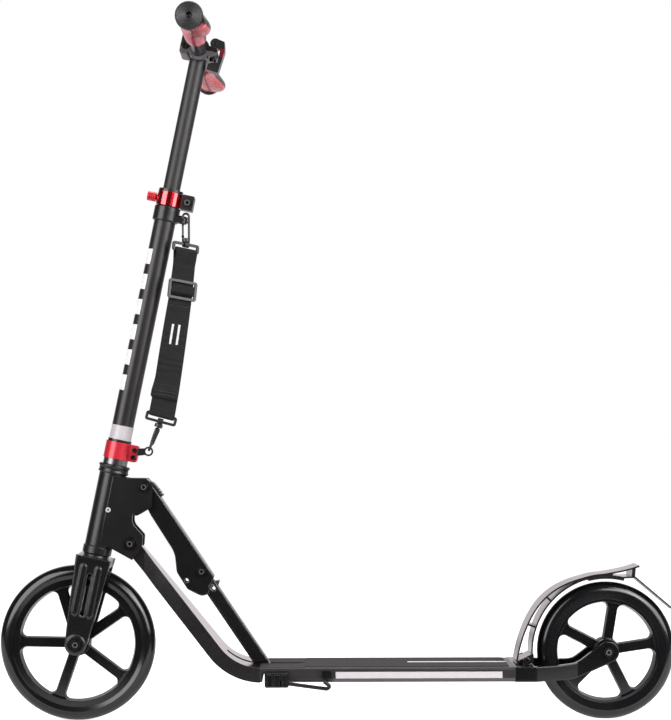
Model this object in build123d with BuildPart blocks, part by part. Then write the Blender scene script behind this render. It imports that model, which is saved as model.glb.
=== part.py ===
import math
import os

from build123d import *

# A folding two-wheel kick scooter, in millimetres.
# +Z is up, the front is towards -X, the rider's left is -Y.
# The origin is on the ground, in the middle of the overall length.

# Running fit on a radius, gap between moving neighbours, and gap beside a thin fixed seat
fit = 0.05
gap = 0.4
seat = 0.3

# Wheels
front_axle_x = -384.2
front_wheel_diameter = 230.0
rear_wheel_diameter = 203.0
front_tyre_height = 20.0
rear_tyre_height = 25.0
front_rim_band = 11.5
rear_rim_band = 6.0
tyre_width = 30.0
tyre_wall = 14.0
rim_width = 24.0
web_thickness = 15.0
hub_diameter = 40.0
hub_width = 34.0
spoke_count = 5
spoke_width = 16.5
window_draft = 12.0
front_spoke_angle = 34.8
rear_spoke_angle = 8.7
window_inner_corner = 2.5
window_outer_corner = 7.0
axle_diameter = 8.0
axle_head_diameter = 14.0
axle_head_height = 3.5
hex_key = 5.0
bearing_diameter = 22.0
bearing_width = 7.0
spacer_diameter = 12.0

# Deck
deck_front_x = -113.2
deck_rear_x = 257.5
deck_width = 116.0
deck_thickness = 21.6
deck_bottom = 62.2
deck_wall = 3.0
deck_corner = 5.0
slot_width = 15.0
slot_front_x = -163.2
slot_rear_x = -49.9
notch_front_x = -109.8
notch_rear_x = -106.2
notch_top = 75.0
grip_front_x = -47.2
grip_rear_x = 249.8
grip_width = 100.0
grip_thickness = 0.8
stripe_front_x = -3.2
stripe_rear_x = 238.8
stripe_height = 9.4
stripe_thickness = 0.4

# Down tube, from the lower fold pivot to the deck
neck_thickness = 21.6
neck_bend_share = 0.985
neck_corner_x = -154.2
neck_wall = 2.6
tongue_end_x = -284.2
shoulder_x = -267.2
shoulder_width = 44.0

# Fold pivots: two behind the steering axis, measured up from the head tube's lower end, one in the deck
lower_pivot_back = 47.27
lower_pivot_rise = 14.05
upper_pivot_back = 50.46
upper_pivot_rise = 100.02
strut_pivot = (-101.8, 74.5)
knee_distance = 175.9
fold_bolt_diameter = 8.0
fold_bolt_head = 13.0
fold_bolt_head_height = 3.5
pivot_flange_diameter = 21.0
pivot_flange_height = 1.2
strut_pin_diameter = 6.0
strut_pin_length = 27.0

# Lower strut and upper link of the folding brace
strut_width = 20.0
strut_height = 20.0
strut_drop = 2.5
strut_wall = 2.2
strut_lug_width = 12.0
link_plate = 2.5
link_roof = 11.0
link_depth = 15.5
knee_lobe_depth = 32.0
roof_end = 16.0
link_cap_rise = 5.0
link_cap_length = 32.0
lock_offset = 25.9
lock_pin_diameter = 6.0
lock_travel = 5.0
bracket_plate = 6.4

# Fork, and the lengths along the steering axis, from the tyre's crown upwards
rake = 11.8
fork_gap = 44.0
fork_leg = 10.0
fork_top_width = 52.0
fork_middle_width = 40.0
fork_end_radius = 16.0
fork_slot_start = 42.0
fork_slot_margin = 12.5
fork_slot_width = 6.0
fork_rib_width = 9.0
fork_rib_height = 2.0
crown_clearance = 3.5
crown_height = 11.5
crown_neck = 4.0
lower_cup_height = 12.0
head_length = 110.0
upper_cup_height = 13.0
spacer_height = 9.0
clamp_height = 25.0
stem_ring_height = 4.0
band_height = 21.0
stem_length = 406.5
lug_collar_height = 22.0
collar_joint = 1.0
quick_collar_height = 20.0
top_ring_height = 4.5
bar_rise = 209.5
steerer_short = 3.0
slider_overlap = 114.5

# Tubes and collars on the steering axis
steerer_diameter = 28.4
steerer_wall = 3.0
head_tube_diameter = 40.0
head_tube_bore = 31.0
cup_diameter = 43.0
cup_wall = 3.2
stem_diameter = 32.0
stem_wall = 1.7
inner_diameter = 25.4
inner_wall = 2.0
clamp_diameter = 39.0
clamp_slit = 3.0
clamp_ear = 31.0
clamp_ear_width = 18.0
clamp_bolt_pitch = 11.0
clamp_bolt_diameter = 5.0
collar_diameter = 38.5
quick_ear = 37.0
quick_ear_width = 17.0
knob_diameter = 14.0
knob_length = 13.0
index_pin_diameter = 6.0
index_travel = 5.0
height_step = 40.0
height_holes = 5

# Handlebar
bar_diameter = 22.2
bar_width = 468.0
grip_length = 122.0
grip_core = 32.0
grip_inner = 29.0
paddle_reach = 22.0
paddle_radius = 8.0
paddle_droop = 14.0
cap_diameter = 38.5
cap_thickness = 9.0
bar_clamp_wall = 5.0
bar_clamp_width = 50.0
bar_clamp_reach = 21.0
bar_ear_height = 28.0
bar_ear_lift = 3.0
cam_radius = 8.0
cam_lever_length = 42.0

# Rear fork, fender and its brake
rear_fork_width = 60.0
rear_fork_arm = 9.0
yoke_narrows = 45.0
rear_fork_gap = 42.0
rear_boss_radius = 15.5
yoke_length = 29.3
yoke_bend = 50.7
rear_wheel_gap = 9.4
fender_width = 46.0
fender_skin = 2.4
fender_rib = 3.0
fender_clearance = 9.9
fender_front_rise = 13.6
fender_crown_rise = 9.2
fender_rear_rise = 2.8
fender_lip_rise = 3.2
fender_tail_rise = 14.4
fender_tail_reach = 47.0
fender_front_angle = 183.0
fender_rear_angle = 78.0
fender_root_reach = 41.0
fender_root_rise = 109.5
fender_pin_back = 20.3
fender_pin_rise = 5.2
fender_pin_diameter = 4.0
fender_ear = 5.5
fender_foot_front = 14.0
pad_thickness = 4.0
pad_width = 24.0
flap_width = 40.0
flap_thickness = 2.0
flap_drop = 60.9
flap_reach = 98.4

# Kickstand on the left side of the deck
stand_front_x = -106.2
stand_rear_x = -71.2
stand_depth = 12.0
stand_bottom = 56.6
stand_top = 79.0
stand_pivot = (-82.2, 63.0)
stand_wire = 5.6
stand_pin_diameter = 5.0
stand_slot = 7.0

# Carrying strap
webbing_width = 38.0
webbing_thickness = 2.0
buckle_wire = 4.0
buckle_height = 14.0
slider_width = 47.0
slider_wire = 4.0
slider_height = 29.0
hook_wire = 3.4
hook_width = 9.0
hook_base = 12.0
hook_base_top = 9.0
gate_knuckle = 4.2
tab_y = 8.0
hook_back = 26.0
upper_ring_drop = 43.0
ring_lead = 0.6
eyelet_y = 24.0
eyelet_back = 47.0
eyelet_rise = 21.0
eyelet_hole = 4.5
lower_ring_back = 18.65
lower_ring_rise = 48.5
strap_bow = 2.7

deck_top = deck_bottom + deck_thickness
deck_middle = deck_bottom + deck_thickness / 2
front_axle_z = front_wheel_diameter / 2
rear_axle_z = rear_wheel_diameter / 2
front_rim_diameter = front_wheel_diameter - 2 * front_tyre_height
rear_rim_diameter = rear_wheel_diameter - 2 * rear_tyre_height
front_window_diameter = front_rim_diameter - 2 * front_rim_band
rear_window_diameter = rear_rim_diameter - 2 * rear_rim_band
rear_slot_x = deck_rear_x + yoke_length
rear_axle_x = rear_slot_x + rear_wheel_gap + rear_axle_z
fender_radius = rear_axle_z + fender_clearance
fender_pin_x = deck_rear_x + fender_pin_back
fender_pin_z = deck_top + fender_pin_rise

# Stations along the steering axis, from the front axle
crown_bottom = front_axle_z + crown_clearance
crown_top = crown_bottom + crown_height
fork_slot_end = crown_bottom - fork_slot_margin
lower_cup = crown_top + crown_neck
head_bottom = lower_cup + lower_cup_height
head_top = head_bottom + head_length
upper_cup_top = head_top + upper_cup_height
clamp_bottom = upper_cup_top + spacer_height
clamp_top = clamp_bottom + clamp_height
steerer_top = clamp_top - steerer_short
ring_top = clamp_top + stem_ring_height
band_top = ring_top + band_height
stem_top = clamp_bottom + stem_length
quick_collar_top = stem_top - top_ring_height
quick_collar_bottom = quick_collar_top - quick_collar_height
lug_collar_top = quick_collar_bottom - collar_joint
lug_collar_bottom = lug_collar_top - lug_collar_height
slider_bottom = stem_top - slider_overlap
bar_station = stem_top + bar_rise

inner_bore = inner_diameter - 2 * inner_wall
stem_bore = stem_diameter - 2 * stem_wall
link_width = strut_width + 2 * link_plate + 2 * gap
tongue_width = link_width
bracket_gap = link_width + 3 * gap
bracket_width = bracket_gap + 2 * bracket_plate

side = Plane.XZ
lean = math.radians(rake)
axis_up = (math.sin(lean), 0, math.cos(lean))
axis_back = (math.cos(lean), 0, -math.sin(lean))
front_axle = (front_axle_x, 0, front_axle_z)
steer = Plane(origin=front_axle, x_dir=axis_back, z_dir=axis_up)
steer_side = Plane(origin=front_axle, x_dir=axis_back, z_dir=(0, -1, 0))


def on_steering(back, up):
    """Side-view coordinates of a point given behind and along the steering axis."""
    x = front_axle_x + back * axis_back[0] + up * axis_up[0]
    z = front_axle_z + back * axis_back[2] + up * axis_up[2]
    return x, z


lower_pivot = on_steering(lower_pivot_back, head_bottom + lower_pivot_rise)
upper_pivot = on_steering(upper_pivot_back, head_bottom + upper_pivot_rise)
neck_turn = math.atan2(lower_pivot[1] - deck_middle, neck_corner_x - lower_pivot[0])
neck_bend = neck_bend_share * (deck_front_x - neck_corner_x) / math.tan(neck_turn / 2)
brace_run = upper_pivot[0] - strut_pivot[0]
brace_rise = upper_pivot[1] - strut_pivot[1]
brace_length = math.hypot(brace_run, brace_rise)
brace_up = (brace_run / brace_length, 0, brace_rise / brace_length)
brace_side = Plane(origin=(strut_pivot[0], 0, strut_pivot[1]), x_dir=brace_up, z_dir=(0, -1, 0))
link_length = brace_length - knee_distance

os.makedirs("parts", exist_ok=True)


def save(piece, label):
    piece.part.label = label
    export_step(piece.part, f"parts/{label}.step")


def sleeve(label, base, start, end, outer, inner):
    """A plain ring or tube between two stations of a plane's normal."""
    with BuildPart() as piece:
        with BuildSketch(base.offset(start)):
            Circle(outer / 2)
            Circle(inner / 2, mode=Mode.SUBTRACT)
        extrude(amount=end - start)
    save(piece, label)


def across(x, z):
    """A plane in side view with its origin on a cross axis."""
    return Plane(origin=(x, 0, z), x_dir=(1, 0, 0), z_dir=(0, -1, 0))


def cross_bolt(centre, shank, half_width, head, head_height):
    """A bolt across the scooter with a socket head on the left and a cap nut on the right."""
    with BuildPart() as bolt:
        with BuildSketch(centre.offset(-half_width)):
            Circle(shank / 2)
        extrude(amount=2 * half_width)
        with BuildSketch(centre.offset(half_width)):
            Circle(head / 2)
        extrude(amount=head_height)
        with BuildSketch(centre.offset(-half_width)):
            Circle(head / 2)
        extrude(amount=-head_height)
        with BuildSketch(centre.offset(half_width + head_height)):
            RegularPolygon(hex_key / 2, 6)
        extrude(amount=-head_height * 0.7, mode=Mode.SUBTRACT)
    return bolt.part


def wheel(prefix, axle_x, axle_z, tyre_diameter, rim_diameter, window_diameter, spoke_angle):
    """A moulded five-spoke rim with its cast tyre, two ball bearings and their spacer."""
    centre = across(axle_x, axle_z)
    axis = Axis((axle_x, 0, axle_z), (0, 1, 0))
    with BuildPart() as rim:
        with BuildSketch(centre):
            Circle(rim_diameter / 2)
            Circle(window_diameter / 2, mode=Mode.SUBTRACT)
        extrude(amount=rim_width / 2, both=True)
        chamfer(rim.edges().filter_by(GeomType.CIRCLE).group_by(SortBy.RADIUS)[0], 1.5)
        with BuildSketch(centre):
            Circle(window_diameter / 2 + 1)
        extrude(amount=web_thickness / 2, both=True)
        with BuildSketch(centre) as windows:
            Circle(window_diameter / 2)
            Circle(hub_diameter / 2, mode=Mode.SUBTRACT)
            with PolarLocations(0, spoke_count, start_angle=spoke_angle):
                Rectangle(window_diameter, spoke_width, align=(Align.MIN, Align.CENTER), mode=Mode.SUBTRACT)
            inner = windows.vertices().sort_by_distance(Vertex(0, 0, 0))[: 2 * spoke_count]
            fillet(inner, window_inner_corner)
            outer = windows.vertices().sort_by_distance(Vertex(0, 0, 0))[-2 * spoke_count :]
            fillet(outer, window_outer_corner)
        extrude(amount=rim_width / 2, both=True, taper=-window_draft, mode=Mode.SUBTRACT)
        with BuildSketch(centre):
            Circle(hub_diameter / 2 - 2)
        extrude(amount=hub_width / 2, both=True)
        with BuildSketch(centre):
            Circle(spacer_diameter / 2 + 1)
        extrude(amount=hub_width, both=True, mode=Mode.SUBTRACT)
        for face in (hub_width / 2, -hub_width / 2 + bearing_width):
            with BuildSketch(centre.offset(face)):
                Circle(bearing_diameter / 2)
            extrude(amount=-bearing_width, mode=Mode.SUBTRACT)
    save(rim, f"{prefix}_rim")

    crown = tyre_diameter / 2
    half = tyre_width / 2
    with BuildPart() as tyre:
        with BuildSketch(Plane(origin=(axle_x, 0, axle_z), x_dir=(1, 0, 0), z_dir=(0, 0, 1))):
            with BuildLine():
                bead = Line((rim_diameter / 2, half - 2), (rim_diameter / 2, -half + 2))
                lower = Line(bead @ 1, (crown - tyre_wall, -half))
                tread = ThreePointArc(lower @ 1, (crown, 0), (crown - tyre_wall, half))
                Line(tread @ 1, bead @ 0)
            make_face()
        revolve(axis=axis)
    save(tyre, f"{prefix}_tyre")

    with BuildPart() as bearings:
        for face in (hub_width / 2, -hub_width / 2 + bearing_width):
            with BuildSketch(centre.offset(face)):
                Circle(bearing_diameter / 2)
                Circle(axle_diameter / 2 + fit, mode=Mode.SUBTRACT)
            extrude(amount=-bearing_width)
            with BuildSketch(centre.offset(face)):
                Circle(bearing_diameter / 2 - 2)
                Circle(axle_diameter / 2 + 2.2, mode=Mode.SUBTRACT)
            extrude(amount=-0.6, mode=Mode.SUBTRACT)
        with BuildSketch(centre):
            Circle(spacer_diameter / 2)
            Circle(axle_diameter / 2 + 0.5, mode=Mode.SUBTRACT)
        extrude(amount=hub_width / 2 - bearing_width - fit, both=True)
    save(bearings, f"{prefix}_bearings")


def axle(label, axle_x, axle_z, half_width):
    """A through axle with its two heads outside the dropouts."""
    with BuildPart() as piece:
        centre = across(axle_x, axle_z)
        add(cross_bolt(centre, axle_diameter, half_width, axle_head_diameter, axle_head_height))
    save(piece, label)


# Wheels and axles
fork_width = fork_gap + 2 * fork_leg
wheel(
    "front", front_axle_x, front_axle_z, front_wheel_diameter,
    front_rim_diameter, front_window_diameter, front_spoke_angle,
)
wheel(
    "rear", rear_axle_x, rear_axle_z, rear_wheel_diameter,
    rear_rim_diameter, rear_window_diameter, rear_spoke_angle,
)
axle("front_axle", front_axle_x, front_axle_z, fork_width / 2 + fork_rib_height)
axle("rear_axle", rear_axle_x, rear_axle_z, rear_fork_width / 2)

# Deck: a hollow extrusion with two inner ribs beside the strut slot
rib = deck_wall
side_cavity = deck_width / 2 - deck_wall - slot_width / 2 - rib
side_cavity_middle = slot_width / 2 + rib + side_cavity / 2
cavity_height = deck_thickness - 2 * deck_wall
with BuildPart() as deck:
    with BuildSketch(Plane.YZ.offset(deck_front_x)):
        with Locations((0, deck_middle)):
            RectangleRounded(deck_width, deck_thickness, deck_corner)
            Rectangle(slot_width, cavity_height, mode=Mode.SUBTRACT)
        with Locations((side_cavity_middle, deck_middle), (-side_cavity_middle, deck_middle)):
            Rectangle(side_cavity, cavity_height, mode=Mode.SUBTRACT)
    extrude(amount=deck_rear_x - deck_front_x)
    with BuildSketch(Plane.XY.offset(deck_top)):
        with Locations(((slot_front_x + slot_rear_x) / 2, 0)):
            SlotOverall(slot_rear_x - slot_front_x, slot_width)
    extrude(amount=-deck_wall, mode=Mode.SUBTRACT)
    with BuildSketch(side):
        with Locations(((notch_front_x + notch_rear_x) / 2, notch_top)):
            Rectangle(
                notch_rear_x - notch_front_x, notch_top, align=(Align.CENTER, Align.MAX)
            )
    extrude(amount=deck_width, both=True, mode=Mode.SUBTRACT)
    with BuildSketch(across(*strut_pivot)):
        Circle(strut_pin_diameter / 2)
    extrude(amount=strut_pin_length / 2, both=True, mode=Mode.SUBTRACT)
save(deck, "deck")

with BuildPart() as grip_tape:
    with BuildSketch(Plane.XY.offset(deck_top)):
        with Locations(((grip_front_x + grip_rear_x) / 2, 0)):
            RectangleRounded(grip_rear_x - grip_front_x, grip_width, 6)
    extrude(amount=grip_thickness)
save(grip_tape, "grip_tape")

with BuildPart() as side_stripes:
    with BuildSketch(side.offset(deck_width / 2)):
        with Locations(((stripe_front_x + stripe_rear_x) / 2, deck_middle)):
            Rectangle(stripe_rear_x - stripe_front_x, stripe_height)
    extrude(amount=stripe_thickness)
    mirror(about=Plane.XZ)
save(side_stripes, "side_stripes")


def neck_shape(thickness, plan):
    """The bent side profile of the down tube, trimmed to its flaring outline from above."""
    with BuildPart() as shape:
        with BuildSketch(side):
            with BuildLine():
                FilletPolyline(
                    lower_pivot, (neck_corner_x, deck_middle), (deck_front_x, deck_middle), radius=neck_bend
                )
            trace(line_width=thickness)
            with Locations(lower_pivot):
                Circle(thickness / 2)
        extrude(amount=deck_width, both=True)
        with BuildSketch(Plane.XY):
            Polygon(*plan, align=None)
        extrude(amount=lower_pivot[1] + neck_thickness, mode=Mode.INTERSECT)
    return shape.part


def flare(start_x, tongue, shoulder, foot):
    """Half widths along the down tube, mirrored to a closed outline from above."""
    left = [(start_x, -tongue), (tongue_end_x, -tongue), (shoulder_x, -shoulder), (deck_front_x, -foot)]
    right = [(x, -y) for x, y in reversed(left)]
    return left + right


neck_outer = neck_shape(
    neck_thickness,
    flare(lower_pivot[0] - neck_thickness, tongue_width / 2, shoulder_width / 2, deck_width / 2),
)
cavity_front_x = shoulder_x + neck_wall
neck_inner = neck_shape(
    neck_thickness - 2 * neck_wall,
    [
        (cavity_front_x, -shoulder_width / 2 + neck_wall),
        (deck_front_x, -deck_width / 2 + neck_wall),
        (deck_front_x, deck_width / 2 - neck_wall),
        (cavity_front_x, shoulder_width / 2 - neck_wall),
    ],
)
neck_slope = (lower_pivot[1] - deck_middle) / (neck_corner_x - lower_pivot[0])
slot_front_z = deck_middle + (neck_corner_x - slot_front_x) * neck_slope
with BuildPart() as down_tube:
    add(neck_outer)
    add(neck_inner, mode=Mode.SUBTRACT)
    with BuildSketch(side):
        Polygon(
            (slot_front_x, slot_front_z + neck_thickness / 2),
            (neck_corner_x, deck_middle + neck_thickness / 4),
            (deck_front_x, deck_middle),
            (deck_front_x, deck_top + neck_thickness),
            (slot_front_x, deck_top + 2 * neck_thickness),
            align=None,
        )
    extrude(amount=slot_width / 2, both=True, mode=Mode.SUBTRACT)
    with BuildSketch(across(*lower_pivot)):
        Circle(fold_bolt_diameter / 2 + fit)
    extrude(amount=tongue_width, both=True, mode=Mode.SUBTRACT)
save(down_tube, "down_tube")



def yoke_plan(start_x, front, rear):
    """Half widths of the rear fork from above, mirrored: wide at the deck, narrow beside the wheel."""
    narrow_x = rear_axle_x - yoke_narrows
    left = [(start_x, -front), (rear_slot_x + 2, -front), (narrow_x, -rear), (2 * rear_axle_x, -rear)]
    return left + [(x, -y) for x, y in reversed(left)]


# Rear fork: a forged yoke behind the deck, with the ears of the fender pin
with BuildPart() as rear_fork:
    with BuildSketch(side) as yoke:
        Polygon(
            (deck_rear_x, deck_bottom),
            (rear_axle_x - yoke_bend, deck_bottom),
            (rear_axle_x + 7, rear_axle_z - 13.8),
            (rear_axle_x - 9, rear_axle_z + 12.6),
            (rear_axle_x - 46, deck_top + 2),
            (rear_axle_x - 74, deck_top),
            (deck_rear_x, deck_top),
            align=None,
        )
        with Locations((rear_axle_x, rear_axle_z)):
            Circle(rear_boss_radius)
        low_bend = yoke.vertices().sort_by_distance(Vertex(rear_axle_x - yoke_bend, deck_bottom, 0))[0]
        fillet(low_bend, 45)
        high_bend = yoke.vertices().sort_by_distance(Vertex(rear_axle_x - 46, deck_top + 2, 0))[0]
        fillet(high_bend, 30)
    extrude(amount=deck_width / 2, both=True)
    with BuildSketch(Plane.XY):
        Polygon(*yoke_plan(deck_rear_x, deck_width / 2, rear_fork_width / 2), align=None)
    extrude(amount=2 * rear_axle_z, mode=Mode.INTERSECT)
    with BuildSketch(Plane.XY):
        Polygon(*yoke_plan(rear_slot_x, deck_width / 2 - rear_fork_arm, rear_fork_gap / 2), align=None)
    extrude(amount=2 * rear_axle_z, mode=Mode.SUBTRACT)
    for face in (hub_width / 2 + seat, -rear_fork_gap / 2):
        with BuildSketch(across(rear_axle_x, rear_axle_z).offset(face)):
            Circle(bearing_diameter / 2 - 2.5)
        extrude(amount=rear_fork_gap / 2 - hub_width / 2 - seat)
    with BuildSketch(side.offset(fender_width / 2 + gap)):
        with Locations((fender_pin_x, deck_top)):
            Rectangle(2 * fender_ear, fender_pin_z - deck_top, align=(Align.CENTER, Align.MIN))
        with Locations((fender_pin_x, fender_pin_z)):
            Circle(fender_ear)
    extrude(amount=rear_fork_width / 2 - fender_width / 2 - gap)
    with BuildSketch(side.offset(-rear_fork_width / 2)):
        with Locations((fender_pin_x, deck_top)):
            Rectangle(2 * fender_ear, fender_pin_z - deck_top, align=(Align.CENTER, Align.MIN))
        with Locations((fender_pin_x, fender_pin_z)):
            Circle(fender_ear)
    extrude(amount=rear_fork_width / 2 - fender_width / 2 - gap)
    with BuildSketch(across(rear_axle_x, rear_axle_z)):
        Circle(axle_diameter / 2)
    extrude(amount=rear_fork_width, both=True, mode=Mode.SUBTRACT)
    with BuildSketch(across(fender_pin_x, fender_pin_z)):
        Circle(fender_pin_diameter / 2)
    extrude(amount=rear_fork_width, both=True, mode=Mode.SUBTRACT)
save(rear_fork, "rear_fork")


def about_rear_axle(radius, angle):
    turn = math.radians(angle)
    return rear_axle_x + radius * math.cos(turn), rear_axle_z + radius * math.sin(turn)


# Fender: an outer skin over an inner one, joined by cross ribs, hinged on a pin at its foot
foot_bottom = deck_top + 1.2
outer_foot = (fender_pin_x - fender_foot_front, foot_bottom + 1.5)
tail_tip = (rear_axle_x + fender_tail_reach, rear_axle_z + fender_radius + fender_tail_rise)
tail_root = (rear_axle_x + fender_root_reach, rear_axle_z + fender_root_rise)
with BuildPart() as fender:
    with BuildSketch(side):
        with BuildLine():
            sweep_angle = fender_front_angle - fender_rear_angle
            inner_skin = CenterArc((rear_axle_x, rear_axle_z), fender_radius, fender_rear_angle, sweep_angle)
            Line(tail_root, inner_skin @ 0)
        trace(line_width=fender_skin)
        with BuildLine():
            Spline(
                outer_foot,
                about_rear_axle(fender_radius + fender_front_rise, 164),
                about_rear_axle(fender_radius + fender_crown_rise, 137),
                about_rear_axle(fender_radius + fender_rear_rise, 111),
                about_rear_axle(fender_radius + fender_lip_rise, 90),
                tail_tip,
            )
        trace(line_width=fender_skin)
        for angle, rise in ((161, fender_front_rise), (138, fender_crown_rise), (117, fender_rear_rise)):
            with BuildLine():
                reach = fender_radius + rise - fender_skin / 4
                Line(about_rear_axle(fender_radius, angle), about_rear_axle(reach, angle))
            trace(line_width=fender_rib)
        with BuildLine():
            CenterArc((rear_axle_x, rear_axle_z), fender_radius + fender_skin * 0.8, 86, 31)
        trace(line_width=fender_skin * 1.4)
        with BuildLine():
            Line((tail_root[0] - 3.2, tail_root[1]), (tail_tip[0] - 8, tail_tip[1] - 3))
        trace(line_width=5)
        Polygon(
            (outer_foot[0] - 1.2, foot_bottom),
            (fender_pin_x + 11, foot_bottom),
            (fender_pin_x + 11, foot_bottom + 13),
            (fender_pin_x + 7, foot_bottom + 13),
            (outer_foot[0] + 1.2, foot_bottom + 3),
            align=None,
        )
    extrude(amount=fender_width / 2, both=True)
    with BuildSketch(across(fender_pin_x, fender_pin_z)):
        Circle(fender_pin_diameter / 2 + fit)
    extrude(amount=fender_width, both=True, mode=Mode.SUBTRACT)
save(fender, "fender")

with BuildPart() as brake_pad:
    with BuildSketch(side):
        with BuildLine():
            CenterArc(
                (rear_axle_x, rear_axle_z), fender_radius - fender_skin / 2 - pad_thickness / 2, 76, 28
            )
        trace(line_width=pad_thickness)
    extrude(amount=pad_width / 2, both=True)
save(brake_pad, "brake_pad")

flap_tip = (rear_axle_x + flap_reach, rear_axle_z + flap_drop)
flap_root = tail_root
flap_lead = 0.45 * flap_thickness
flap_length = math.dist(flap_root, flap_tip)
flap_start = (
    flap_root[0] + (flap_tip[0] - flap_root[0]) * (flap_lead / flap_length),
    flap_root[1] + (flap_tip[1] - flap_root[1]) * (flap_lead / flap_length),
)
with BuildPart() as mudflap:
    with BuildSketch(side):
        with BuildLine():
            Line(flap_start, flap_tip)
        trace(line_width=flap_thickness)
    extrude(amount=flap_width / 2, both=True)
    fillet(mudflap.edges().filter_by(lambda e: e.center().X > flap_tip[0] - 4).group_by(Axis.Y)[0], 0.6)
save(mudflap, "mudflap")

# Kickstand: a block on the left side of the deck, a bent wire leg and a side clip
stand_face = deck_width / 2
slot_start = stand_face + (stand_depth - stand_slot) / 2
with BuildPart() as stand_block:
    with BuildSketch(side.offset(stand_face)):
        with Locations(((stand_front_x + stand_rear_x) / 2, (stand_bottom + stand_top) / 2)):
            RectangleRounded(stand_rear_x - stand_front_x, stand_top - stand_bottom, 3)
    extrude(amount=stand_depth)
    with BuildSketch(side.offset(slot_width)):
        with Locations(((stand_front_x + stand_rear_x) / 2, stand_bottom)):
            Rectangle(
                stand_rear_x - stand_front_x - 6, deck_bottom - stand_bottom, align=(Align.CENTER, Align.MIN)
            )
    extrude(amount=stand_face - slot_width + stand_depth / 5)
    with BuildSketch(side.offset(slot_start)):
        Polygon(
            (stand_pivot[0] - 8, 0),
            (stand_pivot[0] - 8, stand_pivot[1] + 8),
            (0, stand_pivot[1] + 8),
            (0, 0),
            align=None,
        )
    extrude(amount=stand_slot, mode=Mode.SUBTRACT)
    with BuildSketch(across(*stand_pivot).offset(stand_face)):
        Circle(stand_pin_diameter / 2)
    extrude(amount=stand_depth, mode=Mode.SUBTRACT)
save(stand_block, "kickstand_block")

leg_middle = slot_start + stand_slot / 2
leg_plane = side.offset(leg_middle)
with BuildPart() as stand_leg:
    with BuildSketch(leg_plane):
        with Locations(stand_pivot):
            Circle(stand_wire)
    extrude(amount=stand_wire / 2, both=True)
    with BuildLine(leg_plane) as leg_path:
        FilletPolyline(
            stand_pivot,
            (stand_pivot[0] + 66, stand_pivot[1] - 9),
            (stand_pivot[0] + 72, stand_pivot[1] - 5.5),
            (stand_pivot[0] + 62, stand_pivot[1] + 1.5),
            radius=2.9,
        )
    with BuildSketch(Plane(origin=leg_path.line @ 0, z_dir=leg_path.line % 0)):
        Circle(stand_wire / 2)
    sweep(path=leg_path.line)
    with BuildSketch(across(*stand_pivot)):
        Circle(stand_pin_diameter / 2 + fit)
    extrude(amount=deck_width, both=True, mode=Mode.SUBTRACT)
save(stand_leg, "kickstand_leg")

with BuildPart() as stand_clip:
    with BuildSketch(side.offset(stand_face)):
        with Locations((stand_pivot[0] + 66, deck_middle + 1)):
            RectangleRounded(14, 11, 2)
    extrude(amount=4)
save(stand_clip, "kickstand_clip")

# Lower strut: a square tube with a narrow foot in the deck slot and an open saddle at the knee
strut_top_edge = -strut_height / 2 + strut_drop
strut_low_edge = strut_height / 2 + strut_drop
saddle_floor = fold_bolt_diameter / 2 + gap
saddle_start = knee_distance - 16.2 - saddle_floor
strut_end = knee_distance + link_roof - link_plate - 2.2
foot_low = 22.5
foot_high = 12.5
foot_radius = 7.2
lock_x = knee_distance - lock_offset
with BuildPart() as lower_strut:
    with BuildSketch(brace_side):
        Polygon(
            (foot_low, strut_low_edge),
            (strut_end, strut_low_edge),
            (strut_end, strut_top_edge),
            (foot_high, strut_top_edge),
            align=None,
        )
    extrude(amount=strut_width / 2, both=True)
    with BuildSketch(brace_side):
        Polygon(
            (0, strut_low_edge - strut_wall),
            (strut_end + 1, strut_low_edge - strut_wall),
            (strut_end + 1, strut_top_edge + strut_wall),
            (0, strut_top_edge + strut_wall),
            align=None,
        )
    extrude(amount=strut_width / 2 - strut_wall, both=True, mode=Mode.SUBTRACT)
    with BuildSketch(brace_side):
        with BuildLine():
            CenterArc((0, 0), foot_radius, 90, 180)
            Polyline(
                (0, -foot_radius),
                (foot_high, strut_top_edge),
                (foot_low + 12, strut_top_edge),
                (foot_low + 12, strut_low_edge),
                (foot_low, strut_low_edge),
                (0, foot_radius),
            )
        make_face()
    extrude(amount=strut_lug_width / 2, both=True)
    with BuildSketch(brace_side):
        Polygon(
            (saddle_start, saddle_floor),
            (strut_end + 1, saddle_floor),
            (strut_end + 1, strut_top_edge - 1),
            (saddle_start, strut_top_edge - 1),
            align=None,
        )
    extrude(amount=strut_width, both=True, mode=Mode.SUBTRACT)
    with BuildSketch(brace_side):
        with Locations((lock_x - lock_travel / 2, 0)):
            SlotCenterToCenter(lock_travel, lock_pin_diameter + 2 * fit)
    extrude(amount=strut_width, both=True, mode=Mode.SUBTRACT)
    with BuildSketch(Plane(origin=brace_side.origin, x_dir=brace_up, z_dir=brace_side.y_dir)):
        with Locations((lock_x - lock_travel / 2, 0)):
            Rectangle(lock_travel + 3 + 2 * gap, 5 + 2 * gap)
    extrude(amount=strut_top_edge - 1, mode=Mode.SUBTRACT)
    with BuildSketch(brace_side):
        Circle(strut_pin_diameter / 2 + fit)
    extrude(amount=strut_width, both=True, mode=Mode.SUBTRACT)
save(lower_strut, "lower_strut")

# Plain steel pins of the strut foot, the fender and the kickstand
with BuildPart() as cross_pins:
    with BuildSketch(brace_side):
        Circle(strut_pin_diameter / 2)
    extrude(amount=strut_pin_length / 2, both=True)
    pin_centre = across(fender_pin_x, fender_pin_z)
    add(cross_bolt(pin_centre, fender_pin_diameter, rear_fork_width / 2, fender_pin_diameter + 3, 1.5))
    with BuildSketch(across(*stand_pivot).offset(stand_face)):
        Circle(stand_pin_diameter / 2)
    extrude(amount=stand_depth)
    with BuildSketch(across(*stand_pivot).offset(stand_face + stand_depth)):
        Circle(stand_pin_diameter / 2 + 1.5)
    extrude(amount=1.5)
save(cross_pins, "cross_pins")

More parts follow.
